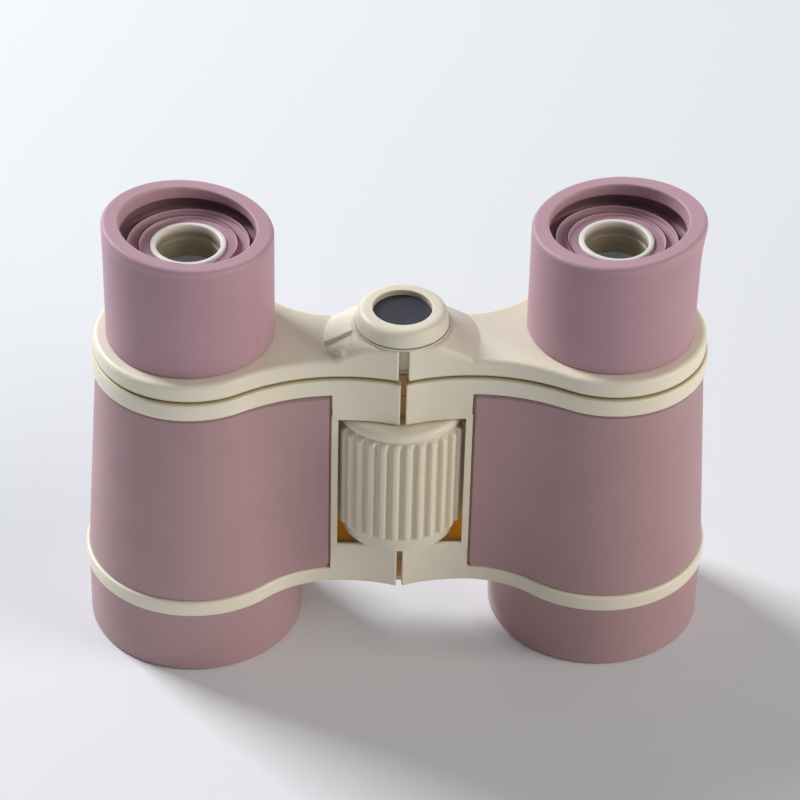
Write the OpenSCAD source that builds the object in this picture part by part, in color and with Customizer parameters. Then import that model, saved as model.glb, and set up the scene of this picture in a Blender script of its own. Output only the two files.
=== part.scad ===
// Toy binoculars: two folding barrels on a centre hinge, focused by a ribbed roller.
// The toy stands on its objective ends: Z is up, along the line of sight, X runs from barrel to
// barrel and the roller faces -Y. The origin is on the floor, midway between the barrel axes.

/* [Layout] */
// Half of the distance between the two barrel axes
half_spacing = 33; // [31:0.5:36]
// Distance of the hinge axis in front of the barrel axes
hinge_forward = 2.8; // [1.5:0.1:4]

/* [Objective end] */
// Outer radius of the rubber sleeve
sleeve_r = 17.4; // [16.8:0.1:18.4]
// Height of the rubber sleeve
sleeve_h = 11.8; // [10:0.1:16]
// Wall of the rubber sleeve
sleeve_wall = 1.4; // [1:0.1:1.8]
// Thickness of the sleeve's turned-in lip, which the toy stands on
sleeve_lip_t = 1; // [0.6:0.1:1.6]
// Bevel round the foot of the sleeve
sleeve_bevel = 0.5; // [0.2:0.1:0.8]
// Wall of the housing's nose inside the sleeve
nose_wall = 1.3; // [1:0.1:1.8]
// Height of the objective lens above the floor
lens_depth = 5.6; // [4.8:0.1:6.4]
// Thickness of the objective lens at its rim
lens_rim_t = 1.2; // [0.8:0.1:1.6]
// Height of the dome on the inner face of the objective lens
lens_dome = 0.8; // [0.4:0.1:1.2]
// Width of the ledge that the objective lens seats on
lens_ledge = 1.3; // [1:0.1:1.8]
// Height of the ring that holds the objective lens
lens_ring_h = 2; // [1.2:0.1:3]

/* [Housing] */
// Radius of the bottom lip round the barrel
bottom_lip_r = 17.8; // [17.5:0.1:18.6]
// Height of the bottom lip
bottom_lip_h = 2.8; // [2:0.1:4]
// Radius of the top lip round the barrel
top_lip_r = 15.6; // [15.2:0.1:16.4]
// Height of the top lip
top_lip_h = 3.2; // [2.4:0.1:4]
// Wall round the space inside the waist
waist_wall = 1.6; // [1.2:0.1:1.8]
// How much wider the bore is below the guide of the ocular tube
bore_step = 0.5; // [0.3:0.1:0.6]

/* [Grip] */
// Height of the rubber grip
grip_h = 34.8; // [32:0.2:44]
// Outer radius of the grip at its foot
grip_foot_r = 17.3; // [16.8:0.1:17.4]
// Outer radius of the grip at its top
grip_top_r = 15.1; // [14.9:0.1:15.3]
// Thickness of the grip
grip_t = 1.2; // [0.8:0.1:1.4]
// Distance of the grip's edge from the hinge plane
grip_edge_x = 11.4; // [11.2:0.1:13]

/* [Hinge] */
// Distance of the narrowest point of the waist from the hinge plane
waist_x = 10.2; // [9.5:0.1:11]
// Depth of the housing's waist in front of the hinge axis
waist_front = 6.5; // [6.2:0.1:7]
// Depth of the housing's waist behind the hinge axis
waist_back = 6.8; // [6.4:0.1:7.2]
// Radius of the curve from the waist to the hinge plane
flare_r = 32; // [24:1:50]
// Height of the lower lug
lower_lug_h = 7.8; // [6:0.1:10]
// Height of the upper lug
upper_lug_h = 7.9; // [6:0.1:10]
// Outer radius of the knuckle rings
knuckle_r = 5.6; // [5:0.1:5.7]
// Radius of the hinge pin and the hinge tube
pin_r = 3.5; // [3:0.1:3.8]
// Radius of the hinge pin's head
pin_head_r = 4.8; // [4.4:0.1:4.9]
// Height of the hinge pin's head
pin_head_h = 1.3; // [0.8:0.1:2]
// Width of the gap between the housings in front
front_gap = 0.85; // [0.8:0.05:1.6]
// Opening angle between the halves behind the hinge, in degrees
back_gap = 50; // [48:1:60]

/* [Focus wheel] */
// Radius of the wheel over its ribs
wheel_r = 11; // [10.4:0.1:11.2]
// Number of ribs
rib_count = 33; // [20:1:40]
// Height of a rib above the wheel's body
rib_depth = 0.8; // [0.4:0.1:1]
// Width of a rib
rib_w = 1.1; // [0.7:0.1:1.2]
// Height of the smooth collar above the ribs
collar_h = 1.6; // [1:0.1:2.5]
// How far the collar lies inside the tops of the ribs
collar_inset = 0.6; // [0.1:0.1:1]
// Radius of the rounding on the collar's upper edge
collar_round = 0.9; // [0.3:0.1:0.9]
// Height of the smooth cone below the ribs
cone_h = 3.1; // [2:0.1:4]
// How much the cone narrows towards its foot
cone_draw = 0.8; // [0.3:0.1:1.5]
// Clearance round the wheel in its window
wheel_clear = 0.9; // [0.4:0.1:1]
// Thickness of the washer under the wheel
washer_t = 0.4; // [0.2:0.1:0.6]
// Radius of the focus screw
screw_r = 2.3; // [1.8:0.1:2.6]
// Focus travel of the eyepieces
focus_travel = 5; // [3:0.5:6]

/* [Bridge] */
// Seam between the housing and the ocular arms
seam = 0.25; // [0.2:0.05:0.6]
// Radius of the ocular arm round the barrel
arm_r = 15.2; // [14.8:0.1:15.6]
// Thickness of the ocular arm
arm_t = 2.95; // [2.4:0.05:4]
// How far the boss round the hinge rises above the arm
boss_rise = 2.7; // [2.2:0.1:3.5]
// Radius of the boss at its foot
boss_foot_r = 12.3; // [10:0.1:14]
// Radius of the boss at its top
boss_top_r = 8; // [7.6:0.1:9]
// Depth of the arm's waist in front of the hinge axis
arm_front = 6.2; // [6.1:0.1:6.8]
// Width of the gap between the arms in front
arm_gap = 1.55; // [1:0.05:2]
// Height of the right arm's knuckle ring, below the left arm's
right_ring_h = 1.5; // [1.2:0.1:2.5]
// Radius of the cap on the hinge
cap_r = 7.15; // [6.6:0.05:7.6]
// Height of the cap
cap_h = 2.9; // [2.6:0.1:3.6]
// Radius of the rounding on the cap's outer edge
cap_round = 1.6; // [0.6:0.1:1.8]
// Radius of the dark disc in the cap
disc_r = 4.6; // [4.2:0.1:5]
// Depth of the disc below the top of the cap
disc_sunk = 0.9; // [0.4:0.1:1.1]
// Thickness of the disc
disc_t = 0.6; // [0.4:0.1:0.8]
// Width of the notch moulded into the left boss
notch_w = 3.4; // [2:0.1:4.5]
// Depth of the notch moulded into the left boss
notch_d = 0.9; // [0.5:0.1:1.2]
// Direction of the notch's straight wall, turned from the line between the barrels, in degrees
notch_turn = 4; // [0:1:12]

/* [Eyepiece] */
// Outer radius of the eyecup
cup_r = 13.2; // [12.6:0.1:14]
// Wall of the eyecup at its rim
cup_wall = 2.3; // [2:0.1:2.5]
// Height of the rim's middle above the ocular arm
cup_h = 19.7; // [19:0.1:24]
// Slant of the rim, which is highest near the outer side, in degrees
rim_slant = 5; // [0:0.5:8]
// How far the rim's highest point is turned from the outer side towards the front, in degrees
rim_turn = 15; // [0:1:30]
// Depth of the pale eyepiece ring below the middle of the rim
ring_sunk = 3.4; // [3:0.1:4.5]
// Depth of the gutter round the eyecup's floor, below the eyepiece ring
gutter_d = 2.4; // [1.5:0.1:3]
// Thickness of the eyecup's floor under the gutter
cup_floor_t = 1.4; // [1:0.1:2]
// Outer radius of the eyecup's inner floor
floor_r = 9.8; // [9:0.1:10.2]
// Radius of the groove in the eyecup's inner floor
groove_r = 7.8; // [7:0.1:8.4]
// Outer radius of the sliding ocular tube
tube_r = 11.9; // [11.4:0.1:12]
// Wall of the ocular tube
tube_wall = 1.5; // [1.2:0.1:2]
// Length of ocular tube inside the barrel
tube_reach = 12.6; // [10:0.2:18]
// Outer radius of the pale eyepiece ring
eye_ring_r = 5.9; // [5.5:0.1:6.4]
// Radius of the eyepiece ring's bore
eye_bore_r = 5; // [4.4:0.1:5.2]
// Width of the step inside the eyepiece ring's bore
eye_step_w = 0.4; // [0.2:0.1:0.6]
// Depth of the eye lens below the eyepiece ring
eye_lens_depth = 5.4; // [4.8:0.1:6]
// Radius of the eye lens
eye_lens_r = 6.4; // [6:0.1:7]
// Thickness of the eye lens
eye_lens_t = 2; // [1.5:0.1:3]
// Depth of the hollow in each face of the eye lens
eye_lens_sag = 0.5; // [0.2:0.1:0.7]
// Height of the ring that holds the eye lens
eye_ring_h = 1; // [0.6:0.1:1.6]

/* [Fits] */
// Clearance of glued and pressed pieces
glue = 0.03; // [0.02:0.01:0.06]
// Radial clearance of pieces that turn or slide on each other
running = 0.05; // [0.03:0.01:0.09]
// Clearance between moving pieces that pass each other
clear = 0.3; // [0.25:0.05:0.4]

/* [Hidden] */
$fn = 96;
dusty_pink = [0.70, 0.53, 0.58];
cream = [0.90, 0.86, 0.77];
steel = [0.72, 0.73, 0.75];
nylon = [0.95, 0.95, 0.93];
ink = [0.17, 0.17, 0.21];
clear_glass = [0.75, 0.83, 0.86, 0.5];

// Levels, from the floor up
lip_z = sleeve_h;
grip_z = lip_z + bottom_lip_h;
top_lip_z = grip_z + grip_h;
deck_z = top_lip_z + top_lip_h;
window_z = lip_z + lower_lug_h;
window_top_z = deck_z - upper_lug_h;
arm_z = deck_z + seam;
arm_top_z = arm_z + arm_t;
boss_z = arm_top_z + boss_rise;
cap_z = boss_z + clear;
cap_top_z = cap_z + cap_h;
rim_z = arm_top_z + cup_h;
eye_ring_z = rim_z - ring_sunk;
gutter_z = eye_ring_z - gutter_d;
eye_lens_z = eye_ring_z - eye_lens_depth;

// Objective end
nose_r = sleeve_r - sleeve_wall - glue;
mouth_r = sleeve_r - sleeve_wall - nose_wall;
ledge_z = lens_depth + lens_rim_t;

// Barrel bore: wide behind the objective, then the guide of the ocular tube
guide_r = tube_r + running;
guide_z = deck_z - tube_reach + focus_travel - clear;
bore_top_r = guide_r + bore_step;
bore_foot_r = mouth_r - lens_ledge;

// Waist of the halves, measured from the line through the barrel axes
waist_span = half_spacing - waist_x;
waist_y = hinge_forward + waist_front;
waist_back_y = waist_back - hinge_forward;
arm_waist_y = hinge_forward + arm_front;
// The waist's curve runs this far into the barrel, so that the two meet at an angle
blend_bite = 0.05;
// Room beyond the waist from which the flare is cut
flare_room = 3;
function blend_r(r, depth) = (waist_span * waist_span + depth * depth - r * r) / (2 * (r - depth));

// Wheel
pocket_r = wheel_r + wheel_clear;
washer_play = 0.1;
washer_inset = 2;
wheel_z = window_z + washer_t + 2 * washer_play;
wheel_top_z = window_top_z - clear;
rib_z = wheel_z + cone_h;
rib_top_z = wheel_top_z - collar_h;
wheel_body_r = wheel_r - rib_depth;
collar_r = wheel_r - collar_inset;
journal_l = 3.2;
journal_end_z = wheel_z + journal_l;
tube_end_z = wheel_top_z - journal_l;
thread_foot_z = journal_end_z + focus_travel;

// Knuckle rings take turns up the hinge: the right half's ring is below the left half's in each pair
lower_split_z = (lip_z + window_z) / 2;
upper_split_z = (window_top_z + deck_z) / 2;
arm_split_z = arm_z + right_ring_h + clear / 2;

// Eyepiece: the tube narrows above the arm, and its shoulder carries the eyecup's floor
shoulder_inset = 0.3;
shoulder_r = cup_r - cup_wall - shoulder_inset;
shoulder_z = gutter_z - cup_floor_t;
tube_rise = 0.7;
tube_step_z = arm_top_z + tube_rise;
eye_seat_r = eye_bore_r - eye_step_w;
eye_step_z = (eye_ring_z + eye_lens_z) / 2;
lens_pocket_z = eye_lens_z - eye_lens_t - eye_ring_h - glue;

// Cap
disc_z = cap_top_z - disc_sunk - disc_t;
cap_screw_r = 1.4;
cap_screw_head_r = 2.7;
cap_screw_head_h = 0.9;
cap_screw_room = 0.2;
cap_screw_l = 5;
cap_lip_w = 0.2;
cap_lip_h = 0.4;

// Domes are drawn with this many steps, and stay this far inside what holds the lens
dome_steps = 8;
lens_room = 0.2;
function reverse(list) = [for (i = [len(list) - 1 : -1 : 0]) list[i]];

eps = 0.01;

// Helpers

module up(z) {
    translate([0, 0, z]) children();
}

module at_barrel() {
    translate([half_spacing, 0, 0]) children();
}

module at_hinge() {
    translate([0, -hinge_forward, 0]) children();
}

// The left half is the mirror image of the right half, apart from its knuckle rings
module on_left() {
    mirror([1, 0, 0]) children();
}

module tube(outer, inner, z, height) {
    up(z) difference() {
        cylinder(r = outer, h = height);
        up(-eps) cylinder(r = inner, h = height + 2 * eps);
    }
}

// Waist of one half seen from above, from the gap at the hinge plane to the barrel's axis: the
// curves on the barrel's side touch the barrel, and the flare widens again towards the hinge
module waist_plan(r, front, back, gap) {
    bite = r - blend_bite;
    front_r = blend_r(bite, front);
    back_r = blend_r(bite, back);
    front_touch = bite * (front + front_r) / (bite + front_r);
    back_touch = bite * (back + back_r) / (bite + back_r);
    difference() {
        translate([waist_x, -front_touch]) square([waist_span, front_touch + back_touch]);
        translate([waist_x, -front - front_r]) circle(r = front_r);
        translate([waist_x, back + back_r]) circle(r = back_r);
    }
    difference() {
        translate([gap / 2, -front - flare_room])
            square([waist_x - gap / 2, front + back + 2 * flare_room]);
        translate([waist_x, -front - flare_r]) circle(r = flare_r);
        translate([waist_x, back + flare_r]) circle(r = flare_r);
    }
}

module half_plan(r, front, back, gap) {
    at_barrel() circle(r = r);
    waist_plan(r, front, back, gap);
}

// Wedge that keeps the halves apart behind the hinge as they fold
module back_wedge(z, height) {
    reach = 4 * knuckle_r;
    at_hinge() up(z) linear_extrude(height)
        polygon([[-reach, 0], [0, 0], [reach * tan(back_gap / 2), reach], [-reach, reach]]);
}

module knuckle(z, top) {
    at_hinge() up(z) cylinder(r = knuckle_r, h = top - z);
}

module knuckle_room(z, top) {
    at_hinge() up(z) cylinder(r = knuckle_r + clear, h = top - z);
}

// Housing

// Cone of the barrel between the lips, grown or shrunk from the grip's outer face
module barrel_cone(grow) {
    at_barrel() up(grip_z) cylinder(r1 = grip_foot_r + grow, r2 = grip_top_r + grow, h = grip_h);
}

module barrel_core() {
    inset = grip_t + glue;
    barrel_cone(-inset);
    up(grip_z) linear_extrude(grip_h)
        waist_plan(grip_top_r - inset, waist_y - inset, waist_back_y - inset, front_gap);
    up(lip_z) linear_extrude(bottom_lip_h) half_plan(bottom_lip_r, waist_y, waist_back_y, front_gap);
    up(top_lip_z) linear_extrude(top_lip_h) half_plan(top_lip_r, waist_y, waist_back_y, front_gap);
    at_barrel() up(sleeve_lip_t) cylinder(r = nose_r, h = lip_z - sleeve_lip_t + eps);
}

// Frame of the wheel's window: the waist at full depth, up to the edge of the grip
module window_frame() {
    up(lip_z) linear_extrude(deck_z - lip_z) intersection() {
        waist_plan(grip_top_r, waist_y, waist_back_y, front_gap);
        translate([0, -2 * waist_y]) square([grip_edge_x - clear, 4 * waist_y]);
    }
}

module barrel_bore() {
    at_barrel() {
        cylinder(r = mouth_r, h = ledge_z);
        up(ledge_z - eps) cylinder(r1 = bore_foot_r, r2 = bore_top_r, h = guide_z - ledge_z + eps);
        up(guide_z - eps) cylinder(r = guide_r, h = deck_z - guide_z + 2 * eps);
    }
}

// Space inside the waist, open to the bore
module waist_hollow() {
    inner_x = pocket_r + waist_wall;
    depth = waist_y + waist_back_y - 2 * (grip_t + waist_wall);
    translate([inner_x, -waist_y + grip_t + waist_wall, grip_z + waist_wall])
        cube([half_spacing - inner_x, depth, guide_z - grip_z - 2 * waist_wall]);
}

// The rings and rooms are lists of [bottom, top] levels
module housing(rings, rooms) {
    difference() {
        union() {
            difference() {
                union() {
                    barrel_core();
                    window_frame();
                }
                back_wedge(lip_z - eps, deck_z - lip_z + 2 * eps);
                for (level = rooms) knuckle_room(level[0], level[1]);
                at_hinge() up(window_z) cylinder(r = pocket_r, h = window_top_z - window_z);
                waist_hollow();
            }
            for (level = rings) knuckle(level[0], level[1]);
        }
        barrel_bore();
        at_hinge() up(lip_z - eps) cylinder(r = pin_r + running, h = deck_z - lip_z + 2 * eps);
    }
}

// The rubber grip wraps the barrel and the waist, up to the window frame on both sides
module grip() {
    color(dusty_pink) difference() {
        union() {
            barrel_cone(0);
            up(grip_z) linear_extrude(grip_h)
                waist_plan(grip_top_r, waist_y, waist_back_y, front_gap);
        }
        barrel_cone_inside();
        up(grip_z - eps) linear_extrude(grip_h + 2 * eps)
            waist_plan(grip_top_r - grip_t, waist_y - grip_t, waist_back_y - grip_t, 0);
        translate([-half_spacing, -2 * waist_y, grip_z - eps])
            cube([half_spacing + grip_edge_x, 4 * waist_y, grip_h + 2 * eps]);
    }
}

module barrel_cone_inside() {
    slope = (grip_top_r - grip_foot_r) / grip_h;
    at_barrel() up(grip_z - eps)
        cylinder(r1 = grip_foot_r - grip_t - slope * eps, r2 = grip_top_r - grip_t + slope * eps,
            h = grip_h + 2 * eps);
}

// Objective end

module objective_sleeve() {
    bevel = sleeve_bevel;
    color(dusty_pink) at_barrel() rotate_extrude() polygon([
        [mouth_r, 0], [sleeve_r - bevel, 0], [sleeve_r, bevel], [sleeve_r, sleeve_h - glue],
        [sleeve_r - sleeve_wall, sleeve_h - glue], [sleeve_r - sleeve_wall, sleeve_lip_t - glue],
        [mouth_r, sleeve_lip_t - glue]
    ]);
}

// Points of a shallow dome's profile, from its middle to its rim
function dome(rim, height) = let (ball = (rim * rim + height * height) / (2 * height)) [
    for (i = [0 : dome_steps]) let (r = rim * i / dome_steps)
        [r, sqrt(ball * ball - r * r) - ball + height]
];

// The objective lens is domed on its inner face and flat outside
module objective_lens() {
    rim = mouth_r - glue;
    top = lens_depth + lens_rim_t - glue;
    color(clear_glass) at_barrel() rotate_extrude() polygon(concat(
        [[0, lens_depth], [rim, lens_depth], [rim, top]],
        [for (p = reverse(dome(bore_foot_r - lens_room, lens_dome))) [p[0], top + p[1]]]
    ));
}

module lens_ring() {
    color(cream) at_barrel()
        tube(mouth_r - glue, bore_foot_r - lens_room, lens_depth - glue - lens_ring_h, lens_ring_h);
}

// Hinge and focus

module hinge_pin() {
    slot_w = 1.2;
    slot_d = 0.7;
    slot_l = 1.6 * pin_r;
    color(steel) at_hinge() difference() {
        union() {
            up(lip_z - glue - pin_head_h) cylinder(r = pin_head_r, h = pin_head_h);
            up(lip_z - glue - eps) cylinder(r = pin_r, h = journal_end_z - clear - lip_z + glue + eps);
        }
        for (turn = [0, 90]) up(lip_z - glue - pin_head_h - eps) rotate(turn)
            translate([-slot_l / 2, -slot_w / 2, 0]) cube([slot_l, slot_w, slot_d + eps]);
    }
}

module hinge_tube() {
    color(steel) at_hinge()
        tube(pin_r, screw_r + running, tube_end_z + clear, deck_z - tube_end_z - clear);
}

module wheel_washer() {
    color(nylon) at_hinge()
        tube(wheel_body_r - cone_draw - washer_inset, pin_r + running, window_z + washer_play, washer_t);
}

module focus_wheel() {
    color(cream) at_hinge() difference() {
        union() {
            up(wheel_z) cylinder(r1 = wheel_body_r - cone_draw, r2 = wheel_body_r, h = cone_h);
            up(rib_z) linear_extrude(rib_top_z - rib_z) {
                circle(r = wheel_body_r);
                for (i = [0 : rib_count - 1]) rotate(i * 360 / rib_count)
                    translate([wheel_body_r / 2, -rib_w / 2]) square([wheel_r - wheel_body_r / 2, rib_w]);
            }
            rotate_extrude() difference() {
                union() {
                    translate([0, rib_top_z]) square([collar_r, collar_h - collar_round]);
                    translate([0, rib_top_z]) square([collar_r - collar_round, collar_h]);
                    translate([collar_r - collar_round, wheel_top_z - collar_round]) circle(r = collar_round);
                }
                translate([-2 * collar_r, rib_z]) square([2 * collar_r, 2 * (wheel_top_z - rib_z)]);
            }
        }
        up(wheel_z - eps) cylinder(r = pin_r + running, h = journal_l + eps);
        up(wheel_z) cylinder(r = screw_r + running, h = wheel_top_z - wheel_z);
        up(tube_end_z) cylinder(r = pin_r + running, h = journal_l + eps);
    }
}

module focus_screw() {
    color(steel) at_hinge() difference() {
        union() {
            up(thread_foot_z) cylinder(r = screw_r, h = arm_z - thread_foot_z + eps);
            up(arm_z) cylinder(r = pin_r, h = cap_z - glue - arm_z);
        }
        up(cap_z - cap_screw_l) cylinder(r = cap_screw_r + glue, h = cap_screw_l + eps);
    }
}

// Bridge

module arm_plan() {
    half_plan(arm_r, arm_waist_y, waist_back_y, arm_gap);
}

// An arm is a level plate with a conical boss round the hinge
module arm(ring, room) {
    difference() {
        union() {
            difference() {
                union() {
                    up(arm_z) linear_extrude(arm_t) arm_plan();
                    intersection() {
                        up(arm_z) linear_extrude(boss_z - arm_z) arm_plan();
                        at_hinge() up(arm_top_z)
                            cylinder(r1 = boss_foot_r, r2 = boss_top_r, h = boss_rise);
                    }
                }
                back_wedge(arm_z - eps, boss_z - arm_z + 2 * eps);
                knuckle_room(room[0], room[1]);
            }
            knuckle(ring[0], ring[1]);
        }
        at_barrel() up(arm_z - eps) cylinder(r = tube_r + glue, h = arm_t + 2 * eps);
        at_hinge() up(arm_z - eps) cylinder(r = pin_r + running, h = boss_z - arm_z + 2 * eps);
    }
}

module hinge_cap() {
    color(cream) at_hinge() difference() {
        rotate_extrude() difference() {
            union() {
                translate([0, cap_z]) square([cap_r, cap_h - cap_round]);
                translate([0, cap_z]) square([cap_r - cap_round, cap_h]);
                translate([cap_r - cap_round, cap_top_z - cap_round]) circle(r = cap_round);
                translate([0, cap_z]) square([cap_r + cap_lip_w, cap_lip_h]);
            }
            translate([-2 * cap_r, cap_z - cap_r]) square([2 * cap_r, 4 * cap_r]);
        }
        up(disc_z) cylinder(r = disc_r + glue, h = cap_h);
        up(disc_z - cap_screw_head_h - glue) cylinder(r = cap_screw_head_r + cap_screw_room, h = cap_h);
        up(cap_z - eps) cylinder(r = cap_screw_r + glue, h = cap_h);
    }
}

module cap_screw() {
    color(steel) at_hinge() {
        up(disc_z - cap_screw_head_h) cylinder(r = cap_screw_head_r, h = cap_screw_head_h - glue);
        up(cap_z - cap_screw_l + clear)
            cylinder(r = cap_screw_r, h = disc_z - cap_screw_head_h - cap_z + cap_screw_l - clear + eps);
    }
}

module cap_disc() {
    color(ink) at_hinge() up(disc_z) cylinder(r = disc_r, h = disc_t);
}

// Eyepiece

module ocular_tube() {
    skirt_z = deck_z - tube_reach;
    color(cream) at_barrel() difference() {
        union() {
            up(skirt_z) cylinder(r = tube_r, h = tube_step_z - skirt_z);
            up(skirt_z) cylinder(r = shoulder_r - glue, h = shoulder_z - glue - skirt_z);
            up(shoulder_z - glue - eps) cylinder(r = eye_ring_r, h = eye_ring_z - shoulder_z + glue + eps);
        }
        up(skirt_z - eps) cylinder(r = tube_r - tube_wall, h = tube_step_z - tube_wall - skirt_z);
        up(skirt_z) cylinder(r = shoulder_r - tube_wall, h = lens_pocket_z - skirt_z);
        up(skirt_z) cylinder(r = eye_lens_r + glue, h = eye_lens_z - skirt_z);
        up(skirt_z) cylinder(r = eye_seat_r, h = eye_ring_z - skirt_z + eps);
        up(eye_step_z) cylinder(r = eye_bore_r, h = eye_ring_z - eye_step_z + eps);
    }
}

// The eye lens is hollow on both faces
module eye_lens() {
    foot_z = eye_lens_z - eye_lens_t;
    top_z = eye_lens_z - glue;
    hollow = dome(eye_seat_r, eye_lens_sag);
    color(clear_glass) at_barrel() rotate_extrude() polygon(concat(
        [for (p = hollow) [p[0], foot_z + p[1]]],
        [[eye_lens_r, foot_z], [eye_lens_r, top_z]],
        [for (p = reverse(hollow)) [p[0], top_z - p[1]]]
    ));
}

module eye_lens_ring() {
    color(cream) at_barrel() tube(eye_lens_r, eye_seat_r, lens_pocket_z, eye_ring_h);
}

// The eyecup's wall is cut to the slant of its rim; its stepped floor lies on the tube's shoulder
module eyecup() {
    high_z = rim_z + cup_r;
    wall_r = cup_r - cup_wall;
    groove_w = 0.4;
    groove_d = 0.5;
    floor_drop = 0.3;
    inner_rise = 0.1;
    floor_z = eye_ring_z - floor_drop;
    color(dusty_pink) at_barrel() difference() {
        rotate_extrude() polygon([
            [shoulder_r, arm_top_z + glue], [cup_r, arm_top_z + glue], [cup_r, high_z], [wall_r, high_z],
            [wall_r, gutter_z], [floor_r, gutter_z], [floor_r, floor_z],
            [groove_r, floor_z], [groove_r, floor_z - groove_d],
            [groove_r - groove_w, floor_z - groove_d], [groove_r - groove_w, floor_z + inner_rise],
            [eye_ring_r + glue, floor_z + inner_rise], [eye_ring_r + glue, shoulder_z],
            [shoulder_r, shoulder_z]
        ]);
        up(arm_top_z) cylinder(r = tube_r + glue, h = tube_step_z - arm_top_z + glue);
        up(rim_z) rotate(-rim_turn) rotate([0, -rim_slant, 0]) translate([-2 * cup_r, -2 * cup_r, 0])
            cube([4 * cup_r, 4 * cup_r, 2 * cup_r]);
    }
}

// Nodes

module right_housing() {
    color(cream) housing(
        [[lip_z, lower_split_z - clear / 2], [window_top_z, upper_split_z - clear / 2]],
        [[lower_split_z - clear / 2, window_z + eps], [upper_split_z - clear / 2, deck_z + eps]]);
}

module left_housing() {
    color(cream) on_left() housing(
        [[lower_split_z + clear / 2, window_z], [upper_split_z + clear / 2, deck_z]],
        [[lip_z - eps, lower_split_z + clear / 2], [window_top_z - eps, upper_split_z + clear / 2]]);
}

module right_ocular_arm() {
    color(cream) arm([arm_z, arm_split_z - clear / 2], [arm_split_z - clear / 2, boss_z + eps]);
}

// A notch is moulded into the slope of the left boss, its floor level with that slope
module left_ocular_arm() {
    fall = boss_foot_r - boss_top_r;
    slope_l = sqrt(fall * fall + boss_rise * boss_rise);
    color(cream) difference() {
        on_left() arm([arm_split_z + clear / 2, boss_z], [arm_z - eps, arm_split_z + clear / 2]);
        at_hinge() rotate(180 + notch_turn) translate([boss_top_r, 0, boss_z])
            rotate([0, atan(boss_rise / fall), 0]) translate([0, 0, -notch_d])
                cube([slope_l, notch_w, 2 * notch_d]);
    }
}

right_housing();
grip();  // right_grip
objective_sleeve();  // right_objective_sleeve
objective_lens();  // right_objective_lens
lens_ring();  // right_lens_ring
left_housing();
on_left() grip();  // left_grip
on_left() objective_sleeve();  // left_objective_sleeve
on_left() objective_lens();  // left_objective_lens
on_left() lens_ring();  // left_lens_ring
hinge_pin();
hinge_tube();
wheel_washer();
focus_wheel();
right_ocular_arm();
ocular_tube();  // right_ocular_tube
eye_lens();  // right_eye_lens
eye_lens_ring();  // right_eye_lens_ring
eyecup();  // right_eyecup
left_ocular_arm();
on_left() ocular_tube();  // left_ocular_tube
on_left() eye_lens();  // left_eye_lens
on_left() eye_lens_ring();  // left_eye_lens_ring
on_left() eyecup();  // left_eyecup
focus_screw();
hinge_cap();
cap_screw();
cap_disc();
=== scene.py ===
# %% [markdown]
# # Toy binoculars
# A pair of child's binoculars stands on its objective ends on a white table. Two pink barrels hang on
# cream plastic bridges that fold round a hinge in the middle, and a ribbed roller between them moves
# the eyepieces. The CAD model gives every piece its place and its joints; this file gives each piece
# the soft edges, rubber and plastic that a photographer would see.

import bpy
import numpy as np
from mathutils import Matrix


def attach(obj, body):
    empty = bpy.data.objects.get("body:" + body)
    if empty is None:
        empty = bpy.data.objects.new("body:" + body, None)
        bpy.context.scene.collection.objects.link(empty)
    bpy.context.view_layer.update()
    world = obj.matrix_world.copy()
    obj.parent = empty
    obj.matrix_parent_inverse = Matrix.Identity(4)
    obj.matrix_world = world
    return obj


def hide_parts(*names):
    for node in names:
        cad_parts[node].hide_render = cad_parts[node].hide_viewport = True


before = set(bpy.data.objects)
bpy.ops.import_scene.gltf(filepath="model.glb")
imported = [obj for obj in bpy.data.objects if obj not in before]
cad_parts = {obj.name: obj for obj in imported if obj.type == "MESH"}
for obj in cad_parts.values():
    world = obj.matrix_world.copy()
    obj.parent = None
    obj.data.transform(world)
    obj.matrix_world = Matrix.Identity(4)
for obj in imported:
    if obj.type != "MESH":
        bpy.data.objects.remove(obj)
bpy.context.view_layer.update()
scene = bpy.context.scene

# %% [markdown]
# ## Sizes
# The drawing is in millimetres, as the CAD source is, and turns into metres only when a mesh is made.
# Z is up, along the line of sight. The barrels stand at x = +33 and -33, and the hinge axis is a little
# in front of the line between them.

# %% Sizes
MM = 0.001
HALF_SPACING, HINGE_Y = 33.0, -2.8
LIP_Z, GRIP_Z, TOP_LIP_Z, DECK_Z = 11.8, 14.6, 49.4, 52.6
WINDOW_Z, WINDOW_TOP_Z = 19.6, 44.7
ARM_Z, ARM_TOP_Z, BOSS_RISE = 52.85, 55.8, 2.7
CAP_TOP_Z, EYE_RING_Z, RIM_Z = 61.7, 72.1, 75.5
SLEEVE_R, BOTTOM_LIP_R, TOP_LIP_R, ARM_R, CUP_R = 17.4, 17.8, 15.6, 15.2, 13.2
GRIP_FOOT_R, GRIP_TOP_R, GRIP_T, GRIP_EDGE_X = 17.3, 15.1, 1.2, 11.4
WAIST_X, WAIST_FRONT, WAIST_BACK, ARM_FRONT, FLARE_R = 10.2, 9.3, 4.0, 9.0, 32.0
KNUCKLE_R, KNUCKLE_ROOM, PIN_R, POCKET_R = 5.6, 5.9, 3.55, 11.9
FRONT_GAP, ARM_GAP, BACK_HALF_ANGLE = 0.85, 1.55, 25.0

# %% [markdown]
# ## Camera
# The photograph looks down at the toy from the front, with a long lens. The camera is set from angles:
# how far it stands round the toy, how high, how much it leans, and how far away it is.

# %% Camera
TURN, HEIGHT, LEAN = np.radians([-3.28, 37.007, 1.386])
DISTANCE, FOCAL_PIXELS, PHOTO_PIXELS = 510.374, 3198.678, 800
AIM = np.array([0.1, 0.0, 41.539])


def stand(thing, axes, at):
    """Links an object to the scene with its x, y and z along these axes, at a place in metres."""
    place = np.eye(4)
    place[:3, :3] = np.stack(axes, 1)
    place[:3, 3] = at
    thing.matrix_world = Matrix(place.tolist())
    scene.collection.objects.link(thing)


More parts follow.
